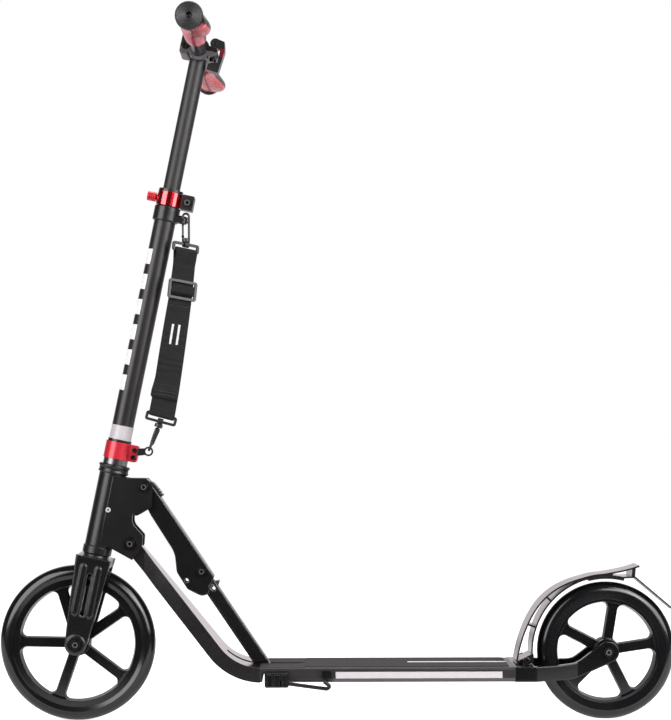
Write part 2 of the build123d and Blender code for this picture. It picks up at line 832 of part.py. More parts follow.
# Lock: a cross pin in the strut with its finger tab above the strut's upper wall
tab_low = strut_top_edge - gap
with BuildPart() as lock_pin:
    with BuildSketch(brace_side):
        with Locations((lock_x, 0)):
            Circle(lock_pin_diameter / 2)
    extrude(amount=strut_width / 2 - 0.1, both=True)
    with BuildSketch(brace_side):
        with Locations((lock_x, 0)):
            Rectangle(3, 1 - tab_low, align=(Align.CENTER, Align.MAX))
    extrude(amount=2.5, both=True)
    with BuildSketch(brace_side):
        Polygon(
            (lock_x - 5, tab_low),
            (lock_x + 3, tab_low),
            (lock_x + 1, tab_low - 6),
            (lock_x - 1.5, tab_low - 6),
            align=None,
        )
    extrude(amount=5, both=True)
save(lock_pin, "lock_pin")

# Upper link: a pressed channel with deep cheeks round the knee, open towards the down tube
with BuildPart() as upper_link:
    with BuildSketch(brace_side) as cheek:
        Polygon(
            (brace_length + link_roof, -link_roof),
            (knee_distance - roof_end, -link_roof),
            (knee_distance - 33, link_roof - 1),
            (knee_distance - 31, link_roof + 9),
            (knee_distance - 10, knee_lobe_depth),
            (knee_distance + 20, knee_lobe_depth - 1),
            (knee_distance + 45, link_depth + 2),
            (brace_length - 40, link_depth),
            (brace_length + link_roof, link_roof - 2),
            align=None,
        )
        corners = cheek.vertices().sort_by(Axis.X)
        fillet(corners[-2:], 8)
        lobe = [v for v in cheek.vertices() if link_roof < v.Y and v.X < knee_distance + 30]
        fillet(lobe, 12)
        waist = cheek.vertices().sort_by_distance(Vertex(knee_distance + 45, link_depth + 2, 0))[0]
        fillet(waist, 40)
    extrude(amount=link_width / 2, both=True)
    with BuildSketch(brace_side):
        Polygon(
            (knee_distance - 60, link_plate - link_roof),
            (brace_length + 60, link_plate - link_roof),
            (brace_length + 60, knee_lobe_depth + 10),
            (knee_distance - 60, knee_lobe_depth + 10),
            align=None,
        )
    extrude(amount=link_width / 2 - link_plate, both=True, mode=Mode.SUBTRACT)
    with BuildSketch(brace_side):
        with Locations((knee_distance, 0), (brace_length, 0)):
            Circle(fold_bolt_diameter / 2 + fit)
        with Locations((lock_x, 0), (knee_distance + 1.6, lock_offset)):
            Circle(lock_pin_diameter / 2)
    extrude(amount=link_width, both=True, mode=Mode.SUBTRACT)
save(upper_link, "upper_link")

cap_start = brace_length - link_cap_length + 6
with BuildPart() as link_cap:
    with BuildSketch(brace_side) as cap_profile:
        Polygon(
            (cap_start, -link_roof),
            (brace_length + 3, -link_roof),
            (brace_length - 2, -link_roof - link_cap_rise * 0.6),
            (cap_start + 10, -link_roof - link_cap_rise),
            (cap_start, -link_roof - link_cap_rise),
            align=None,
        )
        for step in range(4):
            with Locations((cap_start + 4 + 5 * step, -link_roof - link_cap_rise)):
                Circle(1.2, mode=Mode.SUBTRACT)
    extrude(amount=link_width / 2, both=True)
save(link_cap, "link_cap")

with BuildPart() as knee_bolt:
    knee = brace_side.origin + brace_side.x_dir * knee_distance
    centre = across(knee.X, knee.Z)
    add(cross_bolt(centre, fold_bolt_diameter, link_width / 2, fold_bolt_head, fold_bolt_head_height))
save(knee_bolt, "knee_bolt")

# Head tube and the two side plates of the folding bracket
sleeve("head_tube", steer, head_bottom, head_top, head_tube_diameter, head_tube_bore)
head_back = head_tube_diameter / 2
with BuildPart() as fold_bracket:
    with BuildSketch(side.offset(bracket_gap / 2)) as plate:
        Polygon(
            on_steering(4, head_bottom + 7),
            on_steering(0, head_top - 3),
            on_steering(head_back + 6, head_top - 2),
            (upper_pivot[0] + 4, upper_pivot[1] + 12.5),
            (upper_pivot[0] + 13, upper_pivot[1] + 2),
            (upper_pivot[0] + 11, upper_pivot[1] - 30),
            (upper_pivot[0] - 11, upper_pivot[1] - 43),
            (lower_pivot[0] + 4, lower_pivot[1] + 44),
            (lower_pivot[0] + 3, lower_pivot[1] + 30),
            (lower_pivot[0] + 19, lower_pivot[1] + 12),
            (lower_pivot[0] + 18, lower_pivot[1] - 3),
            (lower_pivot[0] + 3, lower_pivot[1] - 24),
            align=None,
        )
        throat = plate.vertices().sort_by_distance(Vertex(lower_pivot[0] + 3, lower_pivot[1] + 30, 0))[0]
        fillet(throat, 15)
        fillet([v for v in plate.vertices() if v.X > lower_pivot[0] + 8], 5)
    extrude(amount=bracket_plate)
    mirror(about=Plane.XZ)
    with BuildSketch(steer.offset(head_bottom - 10)):
        Circle(head_tube_diameter / 2)
    extrude(amount=head_top - head_bottom + 20, mode=Mode.SUBTRACT)
    with BuildSketch(across(*lower_pivot)):
        Circle(fold_bolt_diameter / 2)
    extrude(amount=bracket_width, both=True, mode=Mode.SUBTRACT)
    with BuildSketch(across(*upper_pivot)):
        Circle(fold_bolt_diameter / 2)
    extrude(amount=bracket_width, both=True, mode=Mode.SUBTRACT)
save(fold_bracket, "fold_bracket")

# Flanged pivot bolts
with BuildPart() as fold_bolts:
    for pivot, flange in ((lower_pivot, pivot_flange_diameter), (upper_pivot, fold_bolt_head + 3)):
        reach = bracket_width / 2 + pivot_flange_height
        add(cross_bolt(across(*pivot), fold_bolt_diameter, reach, fold_bolt_head, fold_bolt_head_height))
        with BuildSketch(across(*pivot).offset(bracket_width / 2)):
            Circle(flange / 2)
        extrude(amount=pivot_flange_height)
        with BuildSketch(across(*pivot).offset(-bracket_width / 2)):
            Circle(flange / 2)
        extrude(amount=-pivot_flange_height)
save(fold_bolts, "fold_bolts")

# Headset: two pressed cups and their bearings
with BuildPart() as headset_cups:
    for start, end in ((lower_cup, head_bottom), (head_top, upper_cup_top)):
        with BuildSketch(steer.offset(start)):
            Circle(cup_diameter / 2)
            Circle(cup_diameter / 2 - cup_wall, mode=Mode.SUBTRACT)
        extrude(amount=end - start)
    chamfer(headset_cups.edges().filter_by(GeomType.CIRCLE).group_by(SortBy.RADIUS)[-1], 1)
save(headset_cups, "headset_cups")

with BuildPart() as headset_bearings:
    for start, end in ((lower_cup, head_bottom), (head_top, upper_cup_top)):
        with BuildSketch(steer.offset(start)):
            Circle(cup_diameter / 2 - cup_wall)
            Circle(steerer_diameter / 2 + fit, mode=Mode.SUBTRACT)
        extrude(amount=end - start)
save(headset_bearings, "headset_bearings")


# Fork: two flat legs with raised ribs and a window slot, under a solid crown
steerer_bottom = crown_bottom + 1
with BuildPart() as fork:
    with BuildSketch(steer_side.offset(fork_gap / 2)):
        with BuildLine():
            CenterArc((0, 0), fork_end_radius, 180, 180)
            Polyline(
                (fork_end_radius, 0),
                (fork_middle_width / 2, fork_slot_start),
                (fork_top_width / 2, crown_top),
                (-fork_top_width / 2, crown_top),
                (-fork_middle_width / 2, fork_slot_start),
                (-fork_end_radius, 0),
            )
        make_face()
    extrude(amount=fork_leg)
    with BuildSketch(steer_side.offset(fork_gap / 2 + fork_leg)):
        for offset_back in (-11, 11):
            with Locations((offset_back, (fork_slot_start + crown_bottom) / 2)):
                SlotOverall(crown_bottom - fork_slot_start, fork_rib_width, rotation=90)
        Circle(fork_end_radius - 2)
    extrude(amount=fork_rib_height)
    fillet(fork.edges().group_by(Axis.Y)[0], 0.8 * fork_rib_height)
    mirror(about=Plane.XZ)
    with BuildSketch(steer_side):
        with Locations((0, (crown_bottom + crown_top) / 2)):
            Rectangle(fork_top_width - 2, crown_top - crown_bottom)
    extrude(amount=fork_gap / 2, both=True)
    with BuildSketch(steer.offset(crown_top)):
        Circle(head_tube_diameter / 2 - 1)
    extrude(amount=lower_cup - crown_top - gap)
    with BuildSketch(steer_side):
        with Locations((0, (fork_slot_start + fork_slot_end) / 2)):
            SlotOverall(fork_slot_end - fork_slot_start, fork_slot_width, rotation=90)
    extrude(amount=fork_width, both=True, mode=Mode.SUBTRACT)
    for face in (hub_width / 2 + seat, -fork_gap / 2):
        with BuildSketch(steer_side.offset(face)):
            Circle(bearing_diameter / 2 - 2.5)
        extrude(amount=fork_gap / 2 - hub_width / 2 - seat)
    with BuildSketch(steer_side):
        Circle(axle_diameter / 2)
    extrude(amount=fork_width, both=True, mode=Mode.SUBTRACT)
    with BuildSketch(steer.offset(steerer_bottom)):
        Circle(steerer_diameter / 2)
    extrude(amount=lower_cup, mode=Mode.SUBTRACT)
save(fork, "fork")

sleeve(
    "steerer_tube", steer, steerer_bottom, steerer_top, steerer_diameter, steerer_diameter - 2 * steerer_wall
)

# Stem: the lower tube with its red clamp, the two collars at its top and the plunger hole
plunger = (quick_collar_bottom + quick_collar_top) / 2
front_plane = Plane(origin=steer.origin + steer.z_dir * plunger, x_dir=(0, 1, 0), z_dir=-steer.x_dir)
with BuildPart() as stem_tube:
    with BuildSketch(steer.offset(clamp_bottom)):
        Circle(stem_diameter / 2)
        Circle(stem_bore / 2, mode=Mode.SUBTRACT)
    extrude(amount=stem_top - clamp_bottom)
    with BuildSketch(front_plane):
        Circle(index_pin_diameter / 2 + fit)
    extrude(amount=stem_diameter, mode=Mode.SUBTRACT)
save(stem_tube, "stem_tube")

with BuildPart() as stem_clamp:
    with BuildSketch(steer.offset(clamp_bottom)):
        Circle(clamp_diameter / 2)
        Rectangle(clamp_ear, clamp_ear_width, align=(Align.MIN, Align.CENTER))
        Circle(stem_diameter / 2, mode=Mode.SUBTRACT)
        Rectangle(2 * clamp_ear, clamp_slit, align=(Align.MIN, Align.CENTER), mode=Mode.SUBTRACT)
    extrude(amount=clamp_top - clamp_bottom)
    ear_edges = stem_clamp.edges().filter_by(Axis.Y).sort_by(Axis(front_axle, axis_back))[-4:]
    fillet(ear_edges, 4)
    with BuildSketch(steer_side):
        with Locations((clamp_ear - 6, (clamp_bottom + clamp_top) / 2)):
            with GridLocations(0, clamp_bolt_pitch, 1, 2):
                Circle(clamp_bolt_diameter / 2)
    extrude(amount=clamp_ear, both=True, mode=Mode.SUBTRACT)
save(stem_clamp, "stem_clamp")

with BuildPart() as clamp_bolts:
    for lift in (-clamp_bolt_pitch / 2, clamp_bolt_pitch / 2):
        centre = on_steering(clamp_ear - 6, (clamp_bottom + clamp_top) / 2 + lift)
        add(cross_bolt(across(*centre), clamp_bolt_diameter, clamp_ear_width / 2, 7, 2))
save(clamp_bolts, "clamp_bolts")

sleeve("stem_band", steer, ring_top, band_top, stem_diameter + 0.8, stem_diameter)

# Lower eyelet of the strap, on the end of the left clamp ear
eyelet = (eyelet_back, clamp_bottom + eyelet_rise)
eyelet_arm = clamp_bottom + 12
with BuildPart() as strap_eyelet:
    with BuildSketch(steer_side.offset(clamp_slit / 2)):
        with Locations((clamp_ear, eyelet_arm)):
            Rectangle(4, 10, align=(Align.MIN, Align.MIN))
    extrude(amount=eyelet_y + 1.5 - clamp_slit / 2)
    with BuildSketch(steer_side.offset(eyelet_y - 1.5)):
        Polygon(
            (clamp_ear, eyelet_arm),
            (clamp_ear + 4, eyelet_arm),
            (eyelet[0], eyelet[1] - 5),
            (eyelet[0] - 4, eyelet[1] + 4),
            (clamp_ear, eyelet_arm + 10),
            align=None,
        )
        with Locations(eyelet):
            Circle(7)
            Circle(eyelet_hole, mode=Mode.SUBTRACT)
    extrude(amount=3)
save(strap_eyelet, "strap_eyelet")

# Upper collar with the strap tab, and the red quick-release collar above it
tab_bottom = lug_collar_bottom + 1
tab_top = lug_collar_bottom + 9
with BuildPart() as lug_collar:
    with BuildSketch(steer.offset(lug_collar_bottom)):
        Circle(collar_diameter / 2)
    extrude(amount=lug_collar_top - lug_collar_bottom)
    chamfer(lug_collar.edges().filter_by(GeomType.CIRCLE), 1.2)
    with BuildSketch(steer.offset(tab_bottom)):
        with Locations((0, -tab_y)):
            Rectangle(hook_back, 13, align=(Align.MIN, Align.CENTER))
        with Locations((hook_back, -tab_y)):
            Circle(6.5)
            Circle(4, mode=Mode.SUBTRACT)
    extrude(amount=tab_top - tab_bottom)
    with BuildSketch(steer.offset(lug_collar_bottom)):
        Circle(stem_diameter / 2)
    extrude(amount=lug_collar_top - lug_collar_bottom, mode=Mode.SUBTRACT)
save(lug_collar, "lug_collar")

quick_block = 19.0
with BuildPart() as quick_collar:
    with BuildSketch(steer.offset(quick_collar_bottom)):
        Circle(collar_diameter / 2 - 0.5)
        Rectangle(quick_block, quick_ear_width, align=(Align.MIN, Align.CENTER))
        Circle(stem_diameter / 2, mode=Mode.SUBTRACT)
        Rectangle(quick_ear, 2, align=(Align.MIN, Align.CENTER), mode=Mode.SUBTRACT)
    extrude(amount=quick_collar_top - quick_collar_bottom)
    with BuildSketch(front_plane.offset(collar_diameter / 2 - 4)):
        Circle(knob_diameter / 2 - 1.5)
    extrude(amount=4.5)
    with BuildSketch(steer.offset(quick_collar_bottom)):
        Circle(stem_diameter / 2)
    extrude(amount=quick_collar_top - quick_collar_bottom, mode=Mode.SUBTRACT)
    with BuildSketch(front_plane):
        Circle(index_pin_diameter / 2 + fit)
    extrude(amount=collar_diameter, mode=Mode.SUBTRACT)
save(quick_collar, "quick_collar")

with BuildPart() as quick_jaws:
    with BuildSketch(steer_side.offset(1)):
        with Locations(((quick_block + quick_ear) / 2, plunger)):
            RectangleRounded(quick_ear - quick_block, quick_collar_top - quick_collar_bottom + 2, 2)
    extrude(amount=quick_ear_width / 2 + 2)
    mirror(about=Plane.XZ)
    with BuildSketch(steer_side):
        with Locations(((quick_block + quick_ear) / 2, plunger)):
            Circle(3)
    extrude(amount=quick_ear_width, both=True, mode=Mode.SUBTRACT)
save(quick_jaws, "quick_jaws")

quick_bolt_centre = on_steering((quick_block + quick_ear) / 2, plunger)
jaw_face = quick_ear_width / 2 + 3
lever_axis = jaw_face + 8
with BuildPart() as quick_bolt:
    with BuildSketch(across(*quick_bolt_centre).offset(-lever_axis)):
        Circle(3)
    extrude(amount=jaw_face + lever_axis)
    with BuildSketch(across(*quick_bolt_centre).offset(jaw_face)):
        Circle(5)
    extrude(amount=3)
    with BuildSketch(across(*quick_bolt_centre).offset(jaw_face + 3)):
        RegularPolygon(2.2, 6)
    extrude(amount=-2, mode=Mode.SUBTRACT)
    with BuildSketch(steer.offset(plunger - 9)):
        with Locations(((quick_block + quick_ear) / 2, lever_axis)):
            Circle(2.5)
    extrude(amount=18)
    with BuildSketch(steer.offset(plunger - 4)):
        with Locations(((quick_block + quick_ear) / 2, lever_axis)):
            Circle(4.6)
    extrude(amount=8)
save(quick_bolt, "quick_bolt")

# Cam lever on the right side, lying forward along the collar
with BuildPart() as quick_lever:
    with BuildSketch(steer.offset(plunger - 9)):
        with Locations(((quick_block + quick_ear) / 2, lever_axis)):
            Circle(7.4)
        Polygon(
            ((quick_block + quick_ear) / 2, lever_axis + 7.4),
            (-8, lever_axis + 12),
            (-12, lever_axis + 10),
            (-11, lever_axis + 7.5),
            ((quick_block + quick_ear) / 2 - 7, lever_axis + 1),
            align=None,
        )
    extrude(amount=18)
    with BuildSketch(steer.offset(plunger - 4 - gap)):
        with Locations(((quick_block + quick_ear) / 2, lever_axis)):
            Circle(4.6 + gap)
        with Locations(((quick_block + quick_ear) / 2 - 3 - gap, lever_axis + 3 + gap)):
            Rectangle(30, 30, align=(Align.MIN, Align.MAX))
    extrude(amount=8 + 2 * gap, mode=Mode.SUBTRACT)
    with BuildSketch(steer.offset(plunger - 10)):
        with Locations(((quick_block + quick_ear) / 2, lever_axis)):
            Circle(2.5 + fit)
    extrude(amount=20, mode=Mode.SUBTRACT)
save(quick_lever, "quick_lever")

# Plunger with its grooved knob; its tip stops just short of the sliding tube
knob_start = collar_diameter / 2 + 0.5 + gap
with BuildPart() as index_knob:
    with BuildSketch(front_plane.offset(inner_diameter / 2 + seat)):
        Circle(index_pin_diameter / 2)
    extrude(amount=knob_start - inner_diameter / 2 - seat)
    with BuildSketch(front_plane.offset(knob_start)):
        Circle(knob_diameter / 2)
    extrude(amount=knob_length)
    for groove in range(3):
        with BuildSketch(front_plane.offset(knob_start + 2.5 + 3 * groove)):
            Circle(knob_diameter / 2)
            Circle(knob_diameter / 2 - 0.8, mode=Mode.SUBTRACT)
        extrude(amount=1.2, mode=Mode.SUBTRACT)
    fillet(index_knob.faces().sort_by(Axis.X)[0].edges(), 1.5)
save(index_knob, "index_knob")

with BuildPart() as stem_rings:
    for start, end, outer, inner in (
        (upper_cup_top + seat, clamp_bottom, clamp_diameter - 3, steerer_diameter),
        (clamp_top, ring_top, stem_diameter + 3, stem_diameter),
        (quick_collar_top, stem_top, collar_diameter - 2, stem_diameter),
    ):
        with BuildSketch(steer.offset(start)):
            Circle(outer / 2)
            Circle(inner / 2, mode=Mode.SUBTRACT)
        extrude(amount=end - start)
save(stem_rings, "stem_rings")

with BuildPart() as guide_bush:
    with BuildSketch(steer.offset(lug_collar_bottom)):
        Circle(stem_bore / 2)
        Circle(inner_diameter / 2 + fit, mode=Mode.SUBTRACT)
    extrude(amount=stem_top - lug_collar_bottom)
    with BuildSketch(front_plane):
        Circle(index_pin_diameter / 2 + fit)
    extrude(amount=stem_diameter, mode=Mode.SUBTRACT)
save(guide_bush, "guide_bush")

# Sliding inner tube with its row of height holes and the bush at its lower end
saddle_radius = bar_diameter / 2 + bar_clamp_wall
with BuildPart() as inner_tube:
    with BuildSketch(steer.offset(slider_bottom)):
        Circle(inner_diameter / 2)
        Circle(inner_bore / 2, mode=Mode.SUBTRACT)
    extrude(amount=bar_station - bar_diameter / 2 - slider_bottom)
    for hole in range(height_holes):
        with BuildSketch(front_plane.offset(0)):
            with Locations((0, hole * height_step)):
                Circle(index_pin_diameter / 2 + 0.5)
        extrude(amount=inner_diameter, mode=Mode.SUBTRACT)
    with BuildSketch(steer_side):
        with Locations((0, bar_station)):
            Circle(saddle_radius)
    extrude(amount=inner_diameter, both=True, mode=Mode.SUBTRACT)
save(inner_tube, "inner_tube")

sleeve("slide_bush", steer, slider_bottom - 12, slider_bottom, stem_bore - 2 * fit, inner_bore)

# Handlebar clamp: a lower saddle on the tube and an upper cap, bolted in front, cam lever behind
crossbar_side = Plane(origin=steer.origin + steer.z_dir * bar_station, x_dir=axis_back, z_dir=(0, -1, 0))
half_clamp = bar_clamp_width / 2
with BuildPart() as bar_saddle:
    with BuildSketch(crossbar_side):
        Circle(saddle_radius)
        with Locations((-bar_clamp_reach, 0), (bar_clamp_reach, 0)):
            Circle(7)
        with Locations((-bar_clamp_reach, bar_ear_lift)):
            RectangleRounded(13, bar_ear_height, 3)
        Rectangle(2 * bar_clamp_reach, 14)
        Circle(bar_diameter / 2, mode=Mode.SUBTRACT)
        with Locations((0, -0.5)):
            Rectangle(4 * bar_clamp_reach, 40, align=(Align.CENTER, Align.MIN), mode=Mode.SUBTRACT)
    extrude(amount=half_clamp, both=True)
    with BuildSketch(steer.offset(bar_station - 20)):
        with Locations((bar_clamp_reach, 0)):
            Circle(3)
    extrude(amount=40, mode=Mode.SUBTRACT)
    with BuildSketch(crossbar_side):
        with Locations((-bar_clamp_reach, 0)):
            Circle(3)
    extrude(amount=bar_clamp_width, both=True, mode=Mode.SUBTRACT)
save(bar_saddle, "bar_saddle")

with BuildPart() as bar_cap:
    with BuildSketch(crossbar_side):
        Circle(saddle_radius)
        with Locations((-bar_clamp_reach, 0), (bar_clamp_reach, 0)):
            Circle(7)
        with Locations((-bar_clamp_reach, bar_ear_lift)):
            RectangleRounded(13, bar_ear_height, 3)
        Rectangle(2 * bar_clamp_reach, 14)
        Circle(bar_diameter / 2, mode=Mode.SUBTRACT)
        with Locations((0, 0.5)):
            Rectangle(4 * bar_clamp_reach, 40, align=(Align.CENTER, Align.MAX), mode=Mode.SUBTRACT)
    extrude(amount=half_clamp, both=True)
    with BuildSketch(steer.offset(bar_station - 20)):
        with Locations((bar_clamp_reach, 0)):
            Circle(3)
    extrude(amount=40, mode=Mode.SUBTRACT)
    with BuildSketch(crossbar_side):
        with Locations((-bar_clamp_reach, 0)):
            Circle(3)
    extrude(amount=bar_clamp_width, both=True, mode=Mode.SUBTRACT)
save(bar_cap, "bar_cap")

cam_station = 7 + cam_radius
hinge_bolt_centre = on_steering(-bar_clamp_reach, bar_station)
with BuildPart() as bar_bolts:
    add(cross_bolt(across(*hinge_bolt_centre), 6, half_clamp, 9, 3))
    with BuildSketch(steer.offset(bar_station - 7 - 4)):
        with Locations((bar_clamp_reach, 0)):
            Circle(5)
    extrude(amount=4)
    with BuildSketch(steer.offset(bar_station - 7)):
        with Locations((bar_clamp_reach, 0)):
            Circle(3)
    extrude(amount=7 + cam_station)
    with BuildSketch(crossbar_side):
        with Locations((bar_clamp_reach, cam_station)):
            Circle(2.5)
    extrude(amount=11, both=True)
    with BuildSketch(crossbar_side):
        with Locations((bar_clamp_reach, cam_station)):
            Circle(4.4)
    extrude(amount=3.5, both=True)
save(bar_bolts, "bar_bolts")

with BuildPart() as bar_lever:
    with BuildSketch(crossbar_side):
        with Locations((bar_clamp_reach, cam_station)):
            Circle(cam_radius - gap)
        Polygon(
            (bar_clamp_reach, cam_station + cam_radius - gap),
            (bar_clamp_reach + 13, cam_station + 5),
            (bar_clamp_reach + 16, cam_station - 8),
            (bar_clamp_reach + 12, cam_station - cam_lever_length),
            (bar_clamp_reach - 5, cam_station - cam_lever_length + 2),
            (bar_clamp_reach - 5, cam_station - 31),
            (bar_clamp_reach + 8.5, cam_station - 27),
            (bar_clamp_reach + 9, cam_station - 12),
            (bar_clamp_reach + 7, cam_station - 2),
            align=None,
        )
    extrude(amount=11, both=True)
    with BuildSketch(crossbar_side):
        with Locations((bar_clamp_reach, cam_station)):
            Circle(4.4 + gap)
        with Locations((bar_clamp_reach + 3 + gap, cam_station + 3 + gap)):
            Rectangle(30, 30, align=(Align.MAX, Align.MAX))
    extrude(amount=3.5 + gap, both=True, mode=Mode.SUBTRACT)
    with BuildSketch(crossbar_side):
        with Locations((bar_clamp_reach, cam_station)):
            Circle(2.5 + fit)
    extrude(amount=12, both=True, mode=Mode.SUBTRACT)
save(bar_lever, "bar_lever")

with BuildPart() as crossbar:
    with BuildSketch(crossbar_side):
        Circle(bar_diameter / 2)
        Circle(bar_diameter / 2 - 2.2, mode=Mode.SUBTRACT)
    extrude(amount=bar_width / 2 - cap_thickness, both=True)
save(crossbar, "crossbar")

# Grips: round by the fingers, swelling into a palm wing towards the outer end
grip_outer_y = bar_width / 2 - cap_thickness
grip_inner_y = grip_outer_y - grip_length
droop = math.radians(-paddle_droop - rake)


def grip_section(distance, core, reach, tip):
    """One cross-section of the grip: a round core with a wing of the given reach."""
    with BuildSketch(crossbar_side.offset(distance)) as section:
        with BuildLine():
            wing = math.acos((core / 2 - tip) / reach)
            start = math.degrees(droop - wing)
            sweep_wing = math.degrees(2 * wing)
            core_arc = CenterArc((0, 0), core / 2, start + sweep_wing, 360 - sweep_wing)
            centre = (reach * math.cos(droop), reach * math.sin(droop))
            wing_arc = CenterArc(centre, tip, start, sweep_wing)
            Line(core_arc @ 1, wing_arc @ 0)
            Line(wing_arc @ 1, core_arc @ 0)
        make_face()
    return section.sketch


with BuildPart() as grips:
    sections = [
        grip_section(grip_inner_y, grip_inner, paddle_reach * 0.4, paddle_radius),
        grip_section(grip_inner_y + grip_length * 0.45, grip_core, paddle_reach * 0.6, paddle_radius),
        grip_section(grip_outer_y - grip_length * 0.16, grip_core, paddle_reach, paddle_radius),
        grip_section(grip_outer_y, grip_core, paddle_reach * 0.8, paddle_radius),
    ]
    loft(sections=[section.faces()[0] for section in sections])
    with BuildSketch(crossbar_side):
        Circle(bar_diameter / 2)
    extrude(amount=bar_width, mode=Mode.SUBTRACT)
    mirror(about=Plane.XZ)
save(grips, "grips")

with BuildPart() as end_caps:
    with BuildSketch(crossbar_side.offset(grip_outer_y)):
        Circle(cap_diameter / 2)
    extrude(amount=cap_thickness)
    chamfer(end_caps.edges().group_by(Axis.Y)[0], 1.5)
    with BuildSketch(crossbar_side.offset(bar_width / 2)):
        Circle(4.5)
    extrude(amount=-5, mode=Mode.SUBTRACT)
    mirror(about=Plane.XZ)
save(end_caps, "end_caps")

# Carrying strap: two rings, the webbing between them, its slider, and a snap hook at each end


def face_plane(centre, turn, tilt):
    """A plane in the webbing: X along its width, Y up its length, turned about Z and tilted in side view."""
    swing = math.radians(turn)
    dip = math.radians(tilt)
    width_dir = (math.cos(swing) * math.cos(dip), math.sin(swing) * math.cos(dip), -math.sin(dip))
    return Plane(origin=centre, x_dir=width_dir, z_dir=(math.sin(swing), -math.cos(swing), 0))


def cross_plane(face, height):
    """A plane across the webbing at a height of its face plane."""
    return Plane(origin=face.from_local_coords((0, height, 0)), x_dir=face.x_dir, z_dir=face.y_dir)


def frame_buckle(face, width, height, wire, thickness, shift=0.0):
    """A flat rectangular frame that lies in the webbing's plane or in front of it."""
    with BuildPart() as frame:
        with BuildSketch(face.offset(shift - thickness / 2)):
            RectangleRounded(width, height, wire)
            Rectangle(width - 2 * wire, height - 2 * wire, mode=Mode.SUBTRACT)
        extrude(amount=thickness)
    return frame.part


def bar_tube(face, height, length, outer, inner):
    """A tube round one bar of a ring, along the webbing's width."""
    centre = face.from_local_coords((-length / 2, height, 0))
    with BuildPart() as tube:
        with BuildSketch(Plane(origin=centre, x_dir=face.y_dir, z_dir=face.x_dir)):
            Circle(outer)
            Circle(inner, mode=Mode.SUBTRACT)
        extrude(amount=length)
    return tube.part


hook_x, hook_z = on_steering(hook_back, tab_top)
eyelet_x, eyelet_z = on_steering(*eyelet)
upper_centre = (hook_x + hook_width / 2 - ring_lead, -tab_y, hook_z - upper_ring_drop)
lower_centre = (eyelet_x + lower_ring_back, -eyelet_y, eyelet_z + lower_ring_rise)


def on_strap(share, bow):
    """A point a share of the way down from the upper ring to the lower one, bowed to the rear."""
    x, y, z = (top + share * (low - top) for top, low in zip(upper_centre, lower_centre))
    return x + bow * strap_bow, y, z


ring_bar = buckle_height / 2 - buckle_wire / 2
loop_inner = buckle_wire / 2 + 0.9
loop_outer = loop_inner + 1.5
upper_ring = face_plane(upper_centre, 39, 6)
lower_ring = face_plane(lower_centre, 0, 15)
slider_face = face_plane(on_strap(0.25, 1), 33, 7)
strap_sections = (
    (upper_ring, -ring_bar - loop_inner - 0.4),
    (slider_face, 0),
    (face_plane(on_strap(0.64, 0.75), 14, 8), 0),
    (face_plane(on_strap(0.85, 0.55), 6, 11), 0),
    (lower_ring, ring_bar + loop_inner + 0.4),
)
with BuildPart() as strap_webbing:
    for face, height in strap_sections:
        with BuildSketch(cross_plane(face, height)):
            Rectangle(webbing_width, webbing_thickness)
    loft(ruled=True)
    add(bar_tube(upper_ring, -ring_bar, webbing_width - gap, loop_outer, loop_inner))
    add(bar_tube(lower_ring, ring_bar, webbing_width - gap, loop_outer, loop_inner))
save(strap_webbing, "strap_webbing")

ring_width = webbing_width + 2 * buckle_wire + 2 * gap
slider_shift = webbing_thickness / 2 + 1.5 + 2 * gap
with BuildPart() as strap_buckles:
    add(frame_buckle(upper_ring, ring_width, buckle_height, buckle_wire, 3))
    add(frame_buckle(lower_ring, ring_width, buckle_height, buckle_wire, 3))
    add(frame_buckle(slider_face, slider_width, slider_height, slider_wire, 3, slider_shift))
    with BuildSketch(slider_face.offset(slider_shift - 1.5)):
        Rectangle(slider_width - 2, 5)
    extrude(amount=3)
save(strap_buckles, "strap_buckles")


def hook_body(face, height, plane, arc_height, nose):
    """A snap hook: an eye on the ring's bar, a swivel base and an open wire loop."""
    with BuildPart() as hook:
        add(bar_tube(face, height, 8, loop_inner + 2, loop_inner))
        with BuildSketch(Plane(origin=plane.from_local_coords((0, loop_inner + 0.8, 0)), z_dir=plane.y_dir)):
            Circle(hook_base / 2)
        extrude(amount=hook_base_top - loop_inner - 0.8)
        with BuildLine(plane) as wire:
            rise = Line((hook_width / 2, hook_base_top - 2), (hook_width / 2, arc_height))
            bow = ThreePointArc(rise @ 1, (0, arc_height + hook_width / 2), (-hook_width / 2, arc_height))
            Line(bow @ 1, (-hook_width / 2, nose))
        with BuildSketch(Plane(origin=wire.line @ 0, z_dir=plane.y_dir)):
            Circle(hook_wire / 2)
        sweep(path=wire.line)
    return hook.part


def hook_gate(plane, nose):
    """The sprung gate of a snap hook: a round knuckle above the base and a wire up to the nose."""
    hinge = plane.from_local_coords((-hook_width / 2, gate_hinge, 0))
    with BuildPart() as gate:
        with BuildSketch(Plane(origin=hinge, x_dir=plane.x_dir, z_dir=plane.z_dir)):
            Circle(gate_knuckle / 2)
        extrude(amount=hook_wire / 2, both=True)
        with BuildSketch(Plane(origin=hinge, z_dir=plane.y_dir)):
            Circle(hook_wire / 2 - seat)
        extrude(amount=nose - gate_hinge - gap)
    return gate.part


